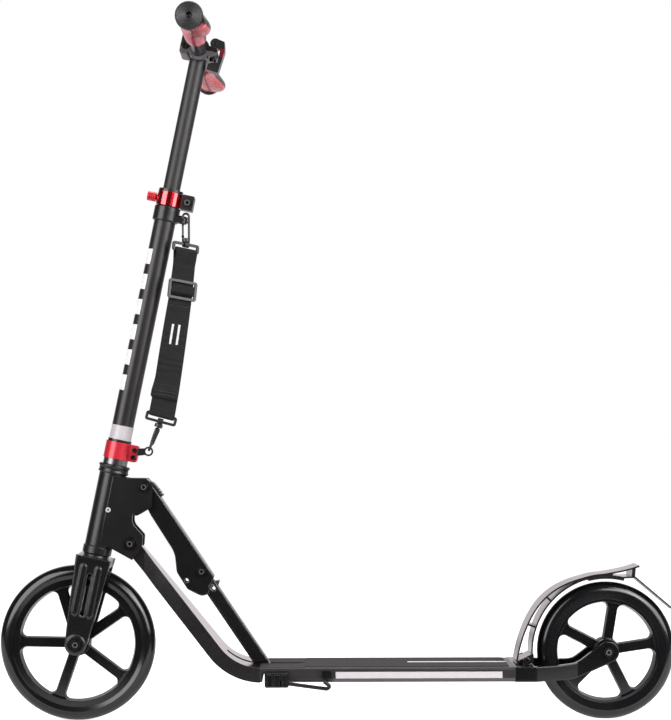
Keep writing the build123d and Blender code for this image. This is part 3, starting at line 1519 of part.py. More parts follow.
gate_hinge = hook_base_top + gap + gate_knuckle / 2
upper_bar = upper_ring.from_local_coords((0, ring_bar, 0))
upper_hook = Plane(origin=upper_bar, x_dir=(1, 0, 0), z_dir=(0, -1, 0))
lower_bar = lower_ring.from_local_coords((0, -ring_bar, 0))
hook_run = Vector(eyelet_x - lower_bar.X, 0, eyelet_z - lower_bar.Z)
hook_down = hook_run.normalized()
lower_hook = Plane(origin=lower_bar, x_dir=(0, 1, 0), z_dir=Vector(0, 1, 0).cross(hook_down))
upper_arc = hook_z + 3 - upper_bar.Z
upper_nose = upper_arc - 15
lower_arc = hook_run.length - eyelet_hole + hook_wire / 2 + 2 * gap - hook_width / 2
lower_nose = lower_arc - 8
with BuildPart() as snap_hooks:
    add(hook_body(upper_ring, ring_bar, upper_hook, upper_arc, upper_nose))
    add(hook_body(lower_ring, -ring_bar, lower_hook, lower_arc, lower_nose))
save(snap_hooks, "snap_hooks")

with BuildPart() as upper_gate:
    add(hook_gate(upper_hook, upper_nose))
save(upper_gate, "upper_gate")

with BuildPart() as lower_gate:
    add(hook_gate(lower_hook, lower_nose))
save(lower_gate, "lower_gate")
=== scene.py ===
import math

import bpy
import numpy as np
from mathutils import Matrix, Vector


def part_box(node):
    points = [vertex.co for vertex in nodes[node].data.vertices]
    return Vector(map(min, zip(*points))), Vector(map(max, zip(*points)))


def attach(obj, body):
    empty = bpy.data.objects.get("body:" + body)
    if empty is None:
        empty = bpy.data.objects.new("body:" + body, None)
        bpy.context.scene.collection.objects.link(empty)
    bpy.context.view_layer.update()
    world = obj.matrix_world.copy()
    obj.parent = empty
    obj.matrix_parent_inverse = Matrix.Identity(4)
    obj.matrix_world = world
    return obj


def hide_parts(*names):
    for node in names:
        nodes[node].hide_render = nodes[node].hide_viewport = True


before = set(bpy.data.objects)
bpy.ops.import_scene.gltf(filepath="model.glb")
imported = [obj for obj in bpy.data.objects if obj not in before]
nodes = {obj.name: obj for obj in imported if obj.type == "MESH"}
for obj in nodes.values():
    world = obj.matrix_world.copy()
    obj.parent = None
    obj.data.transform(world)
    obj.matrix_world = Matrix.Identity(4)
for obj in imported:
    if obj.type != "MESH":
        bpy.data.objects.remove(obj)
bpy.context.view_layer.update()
print("frame:", len(nodes), "nodes")

mm = 0.001
rake = math.radians(11.8)  # lean of the steering axis
axlePlace = (-0.3842, 0, 0.115)  # front axle, on the steering axis
barPlace = (-0.20138, 0.99011)  # X and Z of the crossbar's axis


# sRGB hex to linear: below the toe a straight line, above it a 2.4 power
def linear(hexColour):
    srgb = np.array([int(hexColour[i:i + 2], 16) for i in (1, 3, 5)]) / 255
    rgb = np.where(srgb <= 0.04045, srgb / 12.92, ((srgb + 0.055) / 1.055) ** 2.4)
    return (*rgb.tolist(), 1.0)


# a colour's linear value times a factor
def scaled(hexColour, factor):
    return [part * factor for part in linear(hexColour)[:3]] + [1]


# one node with its settings; an input that is a socket is linked, any other is set
def addNode(tree, kind, inputs=None, **settings):
    node = tree.nodes.new("ShaderNode" + kind)
    for name, value in settings.items():
        setattr(node, name, value)
    for name, value in (inputs or {}).items():
        if isinstance(value, bpy.types.NodeSocket):
            tree.links.new(value, node.inputs[name])
        else:
            node.inputs[name].default_value = value
    return node


# a new material, its tree and its surface shader
def startMaterial(name, **surface):
    material = bpy.data.materials.new(name)
    material.use_nodes = True
    shader = material.node_tree.nodes["Principled BSDF"]
    for socket, value in surface.items():
        shader.inputs[socket.replace("_", " ")].default_value = value
    return material, material.node_tree, shader


camera = {
    "place": (-0.0365, -2.6, 0.4289),
    "lens": 87.6,
    "sensor": 36,
    "shift": (0.0326, 0.0972),
    "roll": math.radians(0.16),
}
lens = bpy.data.cameras.new("camera")
lens.lens = camera["lens"]
lens.sensor_width = camera["sensor"]
lens.shift_x, lens.shift_y = camera["shift"]
eye = bpy.data.objects.new("camera", lens)
eye.location = camera["place"]
eye.rotation_euler = (math.pi / 2, camera["roll"], 0)
bpy.context.scene.collection.objects.link(eye)
bpy.context.scene.camera = eye
bpy.context.scene.view_settings.view_transform = "Standard"
print("camera set")

# two tall softboxes beside the camera draw the bands on tubes and collars, one overhead lights the
# tops, and one high on the camera's right puts the gloss on tyres and rounded edges
studio = {
    "softboxes": (
        ("leftSoftbox", (-1.50, -1.35, 1.20), (1.4, 2.1), 47),
        ("rightSoftbox", (1.55, -1.15, 1.20), (1.2, 2.0), 42),
        ("topSoftbox", (0.20, 0.30, 2.30), (1.5, 0.9), 20),
        ("upperSoftbox", (1.30, -1.90, 1.35), (1.4, 0.9), 26),
    ),
    "aim": (0.0, 0.0, 0.5),
    "backLevel": 1.0,
    "roomTint": "#fcf3f8",
    "frontLevel": 0.06,
    "turnsBright": (0.5, 0.92),
    "floor": ((-3.0, -0.35), (3.0, 3.0)),
    "paper": "#f2f2f2",
    "paperLift": 0.8,
    "glossShare": 0.15,
}
for name, place, size, power in studio["softboxes"]:
    lamp = bpy.data.lights.new(name, "AREA")
    lamp.shape = "RECTANGLE"
    lamp.size, lamp.size_y = size
    lamp.energy = power
    holder = bpy.data.objects.new(name, lamp)
    holder.location = place
    aim = np.array(studio["aim"]) - np.array(place)
    holder.rotation_euler = (
        math.atan2(math.hypot(aim[0], aim[1]), -aim[2]), 0, math.atan2(aim[0], -aim[1]) + math.pi)
    bpy.context.scene.collection.objects.link(holder)

# the room: white paper behind the object, dimmer towards the camera side; the camera always sees
# white
world = bpy.data.worlds.new("studio")
world.use_nodes = True
bpy.context.scene.world = world
room = world.node_tree
room.nodes.clear()
direction = addNode(room, "TexCoord")
split = addNode(room, "SeparateXYZ", {"Vector": direction.outputs["Generated"]})
level = addNode(room, "MapRange", {
    "Value": split.outputs["Y"], "From Min": studio["turnsBright"][0],
    "From Max": studio["turnsBright"][1], "To Min": studio["frontLevel"],
    "To Max": studio["backLevel"]}, interpolation_type="SMOOTHSTEP")
path = addNode(room, "LightPath")
bright = addNode(room, "Math", {
    0: level.outputs["Result"], 1: path.outputs["Is Camera Ray"]}, operation="MAXIMUM")
roomColour = addNode(room, "MixRGB", {
    "Fac": path.outputs["Is Camera Ray"], "Color1": linear(studio["roomTint"]),
    "Color2": (1, 1, 1, 1)})
glow = addNode(room, "Background", {
    "Color": roomColour.outputs["Color"], "Strength": bright.outputs["Value"]})
addNode(room, "OutputWorld", {"Surface": glow.outputs["Background"]})

(leftX, frontY), (rightX, backY) = studio["floor"]
floorCorners = [(leftX, frontY, 0), (rightX, frontY, 0), (rightX, backY, 0), (leftX, backY, 0)]
floorMesh = bpy.data.meshes.new("floor")
floorMesh.from_pydata(floorCorners, [], [(0, 1, 2, 3)])
floor = bpy.data.objects.new("floor", floorMesh)
bpy.context.scene.collection.objects.link(floor)
# matt white paper: even, no gloss, lifted to white for the camera so that only the shadow shows
paper = bpy.data.materials.new("mattWhitePaper")
paper.use_nodes = True
sheetTree = paper.node_tree
sheetTree.nodes.clear()
paperLight = addNode(sheetTree, "LightPath")
seen = addNode(sheetTree, "Math", {
    0: paperLight.outputs["Is Glossy Ray"], 1: studio["glossShare"],
    2: paperLight.outputs["Is Camera Ray"]}, operation="MULTIPLY_ADD")
lift = addNode(sheetTree, "Math", {
    0: seen.outputs["Value"], 1: studio["paperLift"]}, operation="MULTIPLY")
matt = addNode(sheetTree, "BsdfDiffuse", {"Color": linear(studio["paper"])})
lifted = addNode(sheetTree, "Emission", {
    "Color": (1, 1, 1, 1), "Strength": lift.outputs["Value"]})
both = addNode(sheetTree, "AddShader", {0: matt.outputs["BSDF"], 1: lifted.outputs["Emission"]})
addNode(sheetTree, "OutputMaterial", {"Surface": both.outputs["Shader"]})
floorMesh.materials.append(paper)
print("studio set")

# satin polyester powder coat on steel and aluminium: deep black with a soft sheen, edges rounded by
# the film and painted a little grey in patches, part wear and part painted highlight; its orange
# peel is about 1 mm and drawn at 3 mm so that it shows
coatLook = {
    "tones": (0.8, 1.2),
    "cloud": 25 * mm,
    "glossSpread": 0.04,
    "lacquerRoughness": 0.1,
    "edgeWearAndSheenTurn": (0.95, 0.75),
    "edgeWearAndSheen": "#5a5557",
    "edgePatch": 7 * mm,
    "peel": 3 * mm,
    "peelShare": 0.03,
    "peelDepth": 0.3 * mm,
}


def powderCoat(name, hexColour, roughness, edgeRound=1.1 * mm, lacquer=0.0, edgeWearAndSheenShare=1.0):
    material, tree, shader = startMaterial(
        name, IOR=1.5, Coat_Weight=lacquer, Coat_Roughness=coatLook["lacquerRoughness"])
    place = addNode(tree, "TexCoord").outputs["Object"]
    cloud = addNode(tree, "TexNoise", {
        "Vector": place, "Scale": 1 / coatLook["cloud"], "Detail": 3.0})
    tone = addNode(tree, "MixRGB", {
        "Fac": cloud.outputs["Fac"], "Color1": scaled(hexColour, coatLook["tones"][0]),
        "Color2": scaled(hexColour, coatLook["tones"][1])})
    soft = addNode(tree, "Bevel", {"Radius": edgeRound}, samples=10)
    facet = addNode(tree, "NewGeometry")
    turn = addNode(tree, "VectorMath", {
        0: soft.outputs["Normal"], 1: facet.outputs["True Normal"]}, operation="DOT_PRODUCT")
    edge = addNode(tree, "MapRange", {
        "Value": turn.outputs["Value"], "From Min": coatLook["edgeWearAndSheenTurn"][0],
        "From Max": coatLook["edgeWearAndSheenTurn"][1], "To Max": edgeWearAndSheenShare})
    edgePatch = addNode(tree, "TexNoise", {
        "Vector": place, "Scale": 1 / coatLook["edgePatch"], "Detail": 4.0})
    edgeWearAndSheen = addNode(tree, "Math", {
        0: edge.outputs["Result"], 1: edgePatch.outputs["Fac"]}, operation="MULTIPLY")
    # edges painted paler in patches: part wear, part painted highlight where the edges catch light
    colour = addNode(tree, "MixRGB", {
        "Fac": edgeWearAndSheen.outputs["Value"], "Color1": tone.outputs["Color"],
        "Color2": linear(coatLook["edgeWearAndSheen"])})
    tree.links.new(colour.outputs["Color"], shader.inputs["Base Color"])
    gloss = addNode(tree, "MapRange", {
        "Value": cloud.outputs["Fac"], "To Min": roughness - coatLook["glossSpread"],
        "To Max": roughness + coatLook["glossSpread"]})
    tree.links.new(gloss.outputs["Result"], shader.inputs["Roughness"])
    peel = addNode(tree, "TexNoise", {
        "Vector": place, "Scale": 1 / coatLook["peel"], "Detail": 2.0})
    bump = addNode(tree, "Bump", {
        "Height": peel.outputs["Fac"], "Strength": coatLook["peelShare"],
        "Distance": coatLook["peelDepth"], "Normal": soft.outputs["Normal"]})
    tree.links.new(bump.outputs["Normal"], shader.inputs["Normal"])
    return material


# moulded or cast plastic: an even skin with faint clouds in tone and gloss, mould grain of about
# 0.8 mm, drawn at 2 mm, parting edges rounded
plasticLook = {
    "tones": (0.75, 1.75),
    "cloud": 40 * mm,
    "glossSpread": 0.05,
    "polishRoughness": 0.12,
    "grain": 2 * mm,
    "grainDepth": 0.2 * mm,
}


def mouldedPlastic(name, hexColour, roughness, grain, polish=0.0, edgeRound=0.8 * mm):
    material, tree, shader = startMaterial(
        name, Roughness=roughness, IOR=1.53, Coat_Weight=polish,
        Coat_Roughness=plasticLook["polishRoughness"])
    place = addNode(tree, "TexCoord").outputs["Object"]
    speck = addNode(tree, "TexNoise", {
        "Vector": place, "Scale": 1 / plasticLook["grain"], "Detail": 4.0})
    cloud = addNode(tree, "TexNoise", {
        "Vector": place, "Scale": 1 / plasticLook["cloud"], "Detail": 2.0})
    mottle = addNode(tree, "Math", {
        0: speck.outputs["Fac"], 1: cloud.outputs["Fac"]}, operation="MULTIPLY")
    tone = addNode(tree, "MixRGB", {
        "Fac": mottle.outputs["Value"], "Color1": scaled(hexColour, plasticLook["tones"][0]),
        "Color2": scaled(hexColour, plasticLook["tones"][1])})
    tree.links.new(tone.outputs["Color"], shader.inputs["Base Color"])
    gloss = addNode(tree, "MapRange", {
        "Value": cloud.outputs["Fac"], "To Min": roughness - plasticLook["glossSpread"],
        "To Max": roughness + plasticLook["glossSpread"]})
    tree.links.new(gloss.outputs["Result"], shader.inputs["Roughness"])
    soft = addNode(tree, "Bevel", {"Radius": edgeRound}, samples=6)
    bump = addNode(tree, "Bump", {
        "Height": speck.outputs["Fac"], "Strength": grain, "Distance": plasticLook["grainDepth"],
        "Normal": soft.outputs["Normal"]})
    tree.links.new(bump.outputs["Normal"], shader.inputs["Normal"])
    return material


# metals, turned or drawn, so fine lines run one way; lines 0.5 mm apart drawn at 1 mm; an anodised
# one has a clear oxide skin over it, which gives white bands beside its own colour
metalLook = {
    "tones": (0.8, 1.2),
    "glossSpread": 0.06,
    "oxideRoughness": 0.08,
    "oxideIor": 1.77,
    "edgeRound": 0.6 * mm,
    "lines": 1 * mm,
    "lineShare": 0.05,
    "lineDepth": 0.1 * mm,
}


def turnedMetal(name, hexColour, roughness, stretch, oxide=0.0, metallic=1.0):
    material, tree, shader = startMaterial(
        name, Metallic=metallic, Coat_Weight=oxide, Coat_Roughness=metalLook["oxideRoughness"],
        Coat_IOR=metalLook["oxideIor"])
    place = addNode(tree, "TexCoord").outputs["Object"]
    upright = addNode(tree, "Mapping", {
        "Vector": place, "Rotation": (0, -rake, 0), "Scale": stretch})
    lines = addNode(tree, "TexNoise", {
        "Vector": upright.outputs["Vector"], "Scale": 1 / metalLook["lines"], "Detail": 2.0})
    tone = addNode(tree, "MixRGB", {
        "Fac": lines.outputs["Fac"], "Color1": scaled(hexColour, metalLook["tones"][0]),
        "Color2": scaled(hexColour, metalLook["tones"][1])})
    tree.links.new(tone.outputs["Color"], shader.inputs["Base Color"])
    gloss = addNode(tree, "MapRange", {
        "Value": lines.outputs["Fac"], "To Min": roughness - metalLook["glossSpread"],
        "To Max": roughness + metalLook["glossSpread"]})
    tree.links.new(gloss.outputs["Result"], shader.inputs["Roughness"])
    soft = addNode(tree, "Bevel", {"Radius": metalLook["edgeRound"]}, samples=6)
    bump = addNode(tree, "Bump", {
        "Height": lines.outputs["Fac"], "Strength": metalLook["lineShare"],
        "Distance": metalLook["lineDepth"], "Normal": soft.outputs["Normal"]})
    tree.links.new(bump.outputs["Normal"], shader.inputs["Normal"])
    return material


# puts a second colour over a material's own where the mask is 1
def overprint(material, mask, hexColour):
    tree = material.node_tree
    base = tree.nodes["Principled BSDF"].inputs["Base Color"]
    under = base.links[0].from_socket
    mixed = addNode(tree, "MixRGB", {"Fac": mask, "Color1": under, "Color2": linear(hexColour)})
    tree.links.new(mixed.outputs["Color"], base)


# a mask that is 1 where all the given ones are: their product
def allOf(tree, first, *others):
    product = first
    for other in others:
        product = addNode(tree, "Math", {
            0: product.outputs["Value"], 1: other.outputs["Value"]}, operation="MULTIPLY")
    return product.outputs["Value"]


frameCoat = powderCoat("satinPowderCoatBlack", "#171617", 0.30)
plateCoat = powderCoat("satinPowderCoatPlate", "#131213", 0.30, edgeRound=0.6 * mm, edgeWearAndSheenShare=0.1)
yokeCoat = powderCoat("satinPowderCoatYoke", "#0b0a0b", 0.19, edgeRound=3 * mm, edgeWearAndSheenShare=0.05)
roundCoat = powderCoat("satinPowderCoatRounded", "#131213", 0.22, edgeRound=4.5 * mm)
sliderCoat = powderCoat("satinPowderCoatSlider", "#211e20", 0.46)
clampCoat = powderCoat("castAluminiumGreyCoat", "#565357", 0.4)
tubeCoat = powderCoat("lacqueredPowderCoatTube", "#1b191a", 0.19, lacquer=0.7)
deckCoat = powderCoat("satinAnodisedDeck", "#242224", 0.34)
nylon = mouldedPlastic("mouldedNylonBlack", "#191819", 0.34, 0.06)
buckleNylon = mouldedPlastic("mouldedBuckleNylon", "#262426", 0.36, 0.05)
fenderNylon = mouldedPlastic("mouldedFenderNylon", "#1a181a", 0.22, 0.03, polish=0.5)
blockNylon = mouldedPlastic("mouldedBlockNylonGloss", "#080708", 0.2, 0.03)
rimNylon = mouldedPlastic("mouldedRimNylonGloss", "#0a090b", 0.2, 0.02, edgeRound=1.4 * mm)
tyreUrethane = mouldedPlastic("castPolyurethaneBlack", "#0e0d0f", 0.16, 0.01)
rubber = mouldedPlastic("mouldedRubberDark", "#2a2829", 0.5, 0.2)
redAnodised = turnedMetal("anodisedAluminiumRed", "#c4141f", 0.22, (1, 1, 8), oxide=1.0)
redBlasted = turnedMetal(
    "blastedAnodisedAluminiumRed", "#d42b3c", 0.40, (4, 4, 4), oxide=0.3, metallic=0.45)
oxideSteel = turnedMetal("blackOxideSteel", "#3a3839", 0.34, (1, 8, 1))
brightSteel = turnedMetal("zincPlatedSteel", "#c9c6c4", 0.28, (1, 8, 1))
aluminium = turnedMetal("turnedAluminium", "#b5b3b4", 0.30, (1, 1, 8))

# bolts: black oxide steel with a painted glint, a pale ring round the hex socket on each bolt's
# axis, which runs along Y
hexSocket = {"steel": "#3a3839", "rim": "#b8b5b6", "half": 0.7 * mm}
foldBolts = [(-0.305199, 0.262001), (-0.284496, 0.345502)]  # X and Z of each axis


def socketSteel(name, centres, reach):
    material = turnedMetal(name, hexSocket["steel"], 0.3, (1, 8, 1))
    tree = material.node_tree
    place = addNode(tree, "TexCoord").outputs["Object"]
    total = None
    for x, z in centres:
        offset = addNode(tree, "VectorMath", {0: place, 1: (x, 0, z)}, operation="SUBTRACT")
        flat = addNode(tree, "VectorMath", {
            0: offset.outputs["Vector"], 1: (1, 0, 1)}, operation="MULTIPLY")
        away = addNode(tree, "VectorMath", {0: flat.outputs["Vector"]}, operation="LENGTH")
        rim = addNode(tree, "Math", {
            0: away.outputs["Value"], 1: reach, 2: hexSocket["half"]}, operation="COMPARE")
        total = rim if total is None else addNode(
            tree, "Math", {0: total.outputs["Value"], 1: rim.outputs["Value"]}, operation="ADD")
    # paints the pale glint rings over the steel: a painted highlight, not a colour of the bolt
    overprint(material, total.outputs["Value"], hexSocket["rim"])
    return material


# the X and Z of a bolt's axis, from its box
def boltCentre(node):
    low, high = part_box(node)
    return (low[0] + high[0]) / 2, (low[2] + high[2]) / 2


frontAxleSteel = socketSteel("socketSteelFrontAxle", [boltCentre("front_axle")], 3.4 * mm)
rearAxleSteel = socketSteel("socketSteelRearAxle", [boltCentre("rear_axle")], 3.4 * mm)
quickSteel = socketSteel("socketSteelQuick", [boltCentre("quick_bolt")], 3.6 * mm)
kneeSteel = socketSteel("socketSteelKnee", [boltCentre("knee_bolt")], 3.2 * mm)
foldSteel = socketSteel("socketSteelFold", foldBolts, 3.4 * mm)

# the stem's coat carries plain pale printed dashes down its front
stemMarks = {
    "middle": 487 * mm,
    "half": 119 * mm,
    "width": 14 * mm,
    "pitch": 38 * mm,
    "share": 0.6,
}
stemCoat = powderCoat("printedPowderCoatStem", "#201d1f", 0.36)
stemTree = stemCoat.node_tree
stemPlace = addNode(stemTree, "Mapping", {
    "Vector": addNode(stemTree, "TexCoord").outputs["Object"], "Location": axlePlace,
    "Rotation": (0, rake, 0)}, vector_type="TEXTURE")
stemAxes = addNode(stemTree, "SeparateXYZ", {"Vector": stemPlace.outputs["Vector"]})
inRun = addNode(stemTree, "Math", {
    0: stemAxes.outputs["Z"], 1: stemMarks["middle"], 2: stemMarks["half"]}, operation="COMPARE")
inWidth = addNode(stemTree, "Math", {
    0: stemAxes.outputs["Y"], 1: 0.0, 2: stemMarks["width"]}, operation="COMPARE")
inFront = addNode(stemTree, "Math", {0: stemAxes.outputs["X"], 1: 0.0}, operation="LESS_THAN")
steps = addNode(stemTree, "Math", {
    0: stemAxes.outputs["Z"], 1: 1 / stemMarks["pitch"]}, operation="MULTIPLY")
phase = addNode(stemTree, "Math", {0: steps.outputs["Value"]}, operation="FRACT")
inDash = addNode(stemTree, "Math", {
    0: phase.outputs["Value"], 1: stemMarks["share"]}, operation="LESS_THAN")
overprint(stemCoat, allOf(stemTree, inRun, inWidth, inFront, inDash), "#f0eff0")

# the bar lever is moulded in black round a red cam
camMark = {"centre": (-0.1755, 0, 0.9880), "half": 6 * mm}
leverNylon = mouldedPlastic("mouldedLeverTwoTone", "#191819", 0.34, 0.06)
leverTree = leverNylon.node_tree
leverPlace = addNode(leverTree, "Mapping", {
    "Vector": addNode(leverTree, "TexCoord").outputs["Object"], "Location": camMark["centre"],
    "Rotation": (0, rake, 0)}, vector_type="TEXTURE")
leverAxes = addNode(leverTree, "SeparateXYZ", {"Vector": leverPlace.outputs["Vector"]})
leverBand = addNode(leverTree, "Math", {
    0: leverAxes.outputs["Z"], 1: 0.0, 2: camMark["half"]}, operation="COMPARE")
overprint(leverNylon, leverBand.outputs["Value"], "#6d0f1f")

# end caps: moulded rubber turned in rings 2.2 mm apart round the bar, with a painted highlight that
# makes their crests a little paler
capRings = {"pitch": 2.2 * mm, "depth": 0.4 * mm, "strength": 0.5, "highlightFrom": 0.3}
capRubber = mouldedPlastic("ringedCapRubber", "#131213", 0.45, 0.12)
capTree = capRubber.node_tree
capShader = capTree.nodes["Principled BSDF"]
capPlace = addNode(capTree, "VectorMath", {
    0: addNode(capTree, "TexCoord").outputs["Object"], 1: (barPlace[0], 0, barPlace[1])},
    operation="SUBTRACT")
capFlat = addNode(capTree, "VectorMath", {
    0: capPlace.outputs["Vector"], 1: (1, 0, 1)}, operation="MULTIPLY")
capRadius = addNode(capTree, "VectorMath", {0: capFlat.outputs["Vector"]}, operation="LENGTH")
capTurns = addNode(capTree, "Math", {
    0: capRadius.outputs["Value"], 1: 2 * math.pi / capRings["pitch"]}, operation="MULTIPLY")
capWave = addNode(capTree, "Math", {0: capTurns.outputs["Value"]}, operation="SINE")
capBump = addNode(capTree, "Bump", {
    "Height": capWave.outputs["Value"], "Strength": capRings["strength"],
    "Distance": capRings["depth"], "Normal": capShader.inputs["Normal"].links[0].from_socket})
capTree.links.new(capBump.outputs["Normal"], capShader.inputs["Normal"])
capCrestHighlight = addNode(capTree, "MapRange", {
    "Value": capWave.outputs["Value"], "From Min": capRings["highlightFrom"], "From Max": 1.0})
# painted highlight along the crests of the rings
overprint(capRubber, capCrestHighlight.outputs["Result"], "#302d2f")

# stem rings: the spacer under the red clamp is turned aluminium, the rings above it are moulded
spacerTop = 400 * mm
ringFinish = mouldedPlastic("mouldedRingsTurnedSpacer", "#191819", 0.3, 0.04)
ringTree = ringFinish.node_tree
ringAxes = addNode(ringTree, "SeparateXYZ", {
    "Vector": addNode(ringTree, "TexCoord").outputs["Object"]})
isSpacer = addNode(ringTree, "Math", {
    0: ringAxes.outputs["Z"], 1: spacerTop}, operation="LESS_THAN")
overprint(ringFinish, isSpacer.outputs["Value"], "#7c7a7b")
ringTree.links.new(
    isSpacer.outputs["Value"], ringTree.nodes["Principled BSDF"].inputs["Metallic"])

# the top of the deck's nose, ahead of the tape, is blasted matt for grip
deckNose = {"rear": -47 * mm, "above": 83 * mm, "matt": 0.42}
deckTree = deckCoat.node_tree
deckShader = deckTree.nodes["Principled BSDF"]
deckAxes = addNode(deckTree, "SeparateXYZ", {
    "Vector": addNode(deckTree, "TexCoord").outputs["Object"]})
isNose = addNode(deckTree, "Math", {
    0: deckAxes.outputs["X"], 1: deckNose["rear"]}, operation="LESS_THAN")
isTop = addNode(deckTree, "Math", {
    0: deckAxes.outputs["Z"], 1: deckNose["above"]}, operation="GREATER_THAN")
noseMatt = addNode(deckTree, "Math", {
    0: allOf(deckTree, isNose, isTop), 1: deckNose["matt"],
    2: deckShader.inputs["Roughness"].links[0].from_socket}, operation="MULTIPLY_ADD")
deckTree.links.new(noseMatt.outputs["Value"], deckShader.inputs["Roughness"])

# the lip under the stripes has a painted sheen, paler than the sides, which gives the deck a grey
# lower line
deckLipSheen = {
    "front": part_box("side_stripes")[0][0] - 4 * mm,
    "top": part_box("side_stripes")[0][2],
    "side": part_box("deck")[1][1] - 3 * mm,
}
fromMiddle = addNode(deckTree, "Math", {0: deckAxes.outputs["Y"]}, operation="ABSOLUTE")
isLow = addNode(deckTree, "Math", {
    0: deckAxes.outputs["Z"], 1: deckLipSheen["top"]}, operation="LESS_THAN")
isSide = addNode(deckTree, "Math", {
    0: fromMiddle.outputs["Value"], 1: deckLipSheen["side"]}, operation="GREATER_THAN")
isBehind = addNode(deckTree, "Math", {
    0: deckAxes.outputs["X"], 1: deckLipSheen["front"]}, operation="GREATER_THAN")
# painted sheen on the lower lip of the deck's sides
overprint(deckCoat, allOf(deckTree, isLow, isSide, isBehind), "#4b4649")

# pale printed film: smooth, faint mottling from the print in patches 12 mm across
filmPatch = 12 * mm
film, filmTree, filmShader = startMaterial("printedVinylFilmPale", Roughness=0.32, IOR=1.5)
filmCloud = addNode(filmTree, "TexNoise", {
    "Vector": addNode(filmTree, "TexCoord").outputs["Object"], "Scale": 1 / filmPatch,
    "Detail": 2.0})
filmTone = addNode(filmTree, "MixRGB", {
    "Fac": filmCloud.outputs["Fac"], "Color1": linear("#b8b2b5"), "Color2": linear("#c5c0c3")})
filmTree.links.new(filmTone.outputs["Color"], filmShader.inputs["Base Color"])

# gritted sheet: 0.5 mm mineral grit in black resin, drawn at 1.6 mm, with a few bright facets and
# one plain pale line
tape = {
    "grit": 1.6 * mm,
    "facet": 0.6,
    "gritShare": 0.6,
    "gritDepth": 0.4 * mm,
    "lineMiddle": 186 * mm,
    "lineHalf": 82 * mm,
    "lineWidth": 5 * mm,
}
grit, gritTree, gritShader = startMaterial("grittedDeckTape", Roughness=0.75, IOR=1.5)
gritPlace = addNode(gritTree, "TexCoord").outputs["Object"]
grains = addNode(gritTree, "TexVoronoi", {"Vector": gritPlace, "Scale": 1 / tape["grit"]})
sparkle = addNode(gritTree, "MapRange", {
    "Value": grains.outputs["Distance"], "From Min": 0.0, "From Max": tape["facet"],
    "To Min": 1.0, "To Max": 0.0})
gritTone = addNode(gritTree, "MixRGB", {
    "Fac": sparkle.outputs["Result"], "Color1": linear("#151415"), "Color2": linear("#3b393b")})
gritTree.links.new(gritTone.outputs["Color"], gritShader.inputs["Base Color"])
gritBump = addNode(gritTree, "Bump", {
    "Height": sparkle.outputs["Result"], "Strength": tape["gritShare"],
    "Distance": tape["gritDepth"]})
gritTree.links.new(gritBump.outputs["Normal"], gritShader.inputs["Normal"])
gritAxes = addNode(gritTree, "SeparateXYZ", {"Vector": gritPlace})
lineRun = addNode(gritTree, "Math", {
    0: gritAxes.outputs["X"], 1: tape["lineMiddle"], 2: tape["lineHalf"]}, operation="COMPARE")
lineWidth = addNode(gritTree, "Math", {
    0: gritAxes.outputs["Y"], 1: 0.0, 2: tape["lineWidth"]}, operation="COMPARE")
overprint(grit, allOf(gritTree, lineRun, lineWidth), "#d8d6d8")

# woven polyester webbing: ribs across it 1.7 mm apart, drawn at 2.6 mm, and warp threads along it
# 1.4 mm apart, drawn at 2.4 mm; matt with a fibre sheen, soft creases across it every 9 mm or so;
# two plain pale bars printed
weave = {
    "rib": 2.6 * mm,
    "warp": 2.4 * mm,
    "threadShare": 0.7,
    "threadDepth": 0.5 * mm,
    "fade": 14 * mm,
    "crease": 9 * mm,
    "creaseStretch": 0.08,
    "creaseShare": 0.6,
    "creaseDepth": 4 * mm,
    "barMiddle": 206 * mm,
    "barHalf": 15 * mm,
    "barAway": 5 * mm,
    "barWidth": 1.6 * mm,
}
webbing, webTree, webShader = startMaterial(
    "wovenPolyesterWebbing", Roughness=0.75, IOR=1.36, Sheen_Weight=0.03, Sheen_Roughness=0.5)
webPlace = addNode(webTree, "TexCoord").outputs["UV"]
webAxes = addNode(webTree, "SeparateXYZ", {"Vector": webPlace})
ribTurn = addNode(webTree, "Math", {
    0: webAxes.outputs["X"], 1: 2 * math.pi / weave["rib"]}, operation="MULTIPLY")
warpTurn = addNode(webTree, "Math", {
    0: webAxes.outputs["Y"], 1: 2 * math.pi / weave["warp"]}, operation="MULTIPLY")
ribWave = addNode(webTree, "Math", {0: ribTurn.outputs["Value"]}, operation="SINE")
warpWave = addNode(webTree, "Math", {0: warpTurn.outputs["Value"]}, operation="SINE")
crossed = addNode(webTree, "Math", {
    0: ribWave.outputs["Value"], 1: warpWave.outputs["Value"]}, operation="MULTIPLY")
woven = addNode(webTree, "Math", {
    0: ribWave.outputs["Value"], 1: crossed.outputs["Value"]}, operation="ADD")
height = addNode(webTree, "MapRange", {
    "Value": woven.outputs["Value"], "From Min": -2.0, "From Max": 2.0})
fade = addNode(webTree, "TexNoise", {
    "Vector": webPlace, "Scale": 1 / weave["fade"], "Detail": 3.0})
shade = addNode(webTree, "Math", {
    0: height.outputs["Result"], 1: fade.outputs["Fac"]}, operation="MULTIPLY")
webTone = addNode(webTree, "MixRGB", {
    "Fac": shade.outputs["Value"], "Color1": linear("#0b0a0b"), "Color2": linear("#252325")})
webTree.links.new(webTone.outputs["Color"], webShader.inputs["Base Color"])
creaseRun = addNode(webTree, "Mapping", {
    "Vector": webPlace, "Scale": (1, weave["creaseStretch"], 1)})
crease = addNode(webTree, "TexNoise", {
    "Vector": creaseRun.outputs["Vector"], "Scale": 1 / weave["crease"], "Detail": 1.0})
creaseBump = addNode(webTree, "Bump", {
    "Height": crease.outputs["Fac"], "Strength": weave["creaseShare"],
    "Distance": weave["creaseDepth"]})
webBump = addNode(webTree, "Bump", {
    "Height": height.outputs["Result"], "Strength": weave["threadShare"],
    "Distance": weave["threadDepth"], "Normal": creaseBump.outputs["Normal"]})
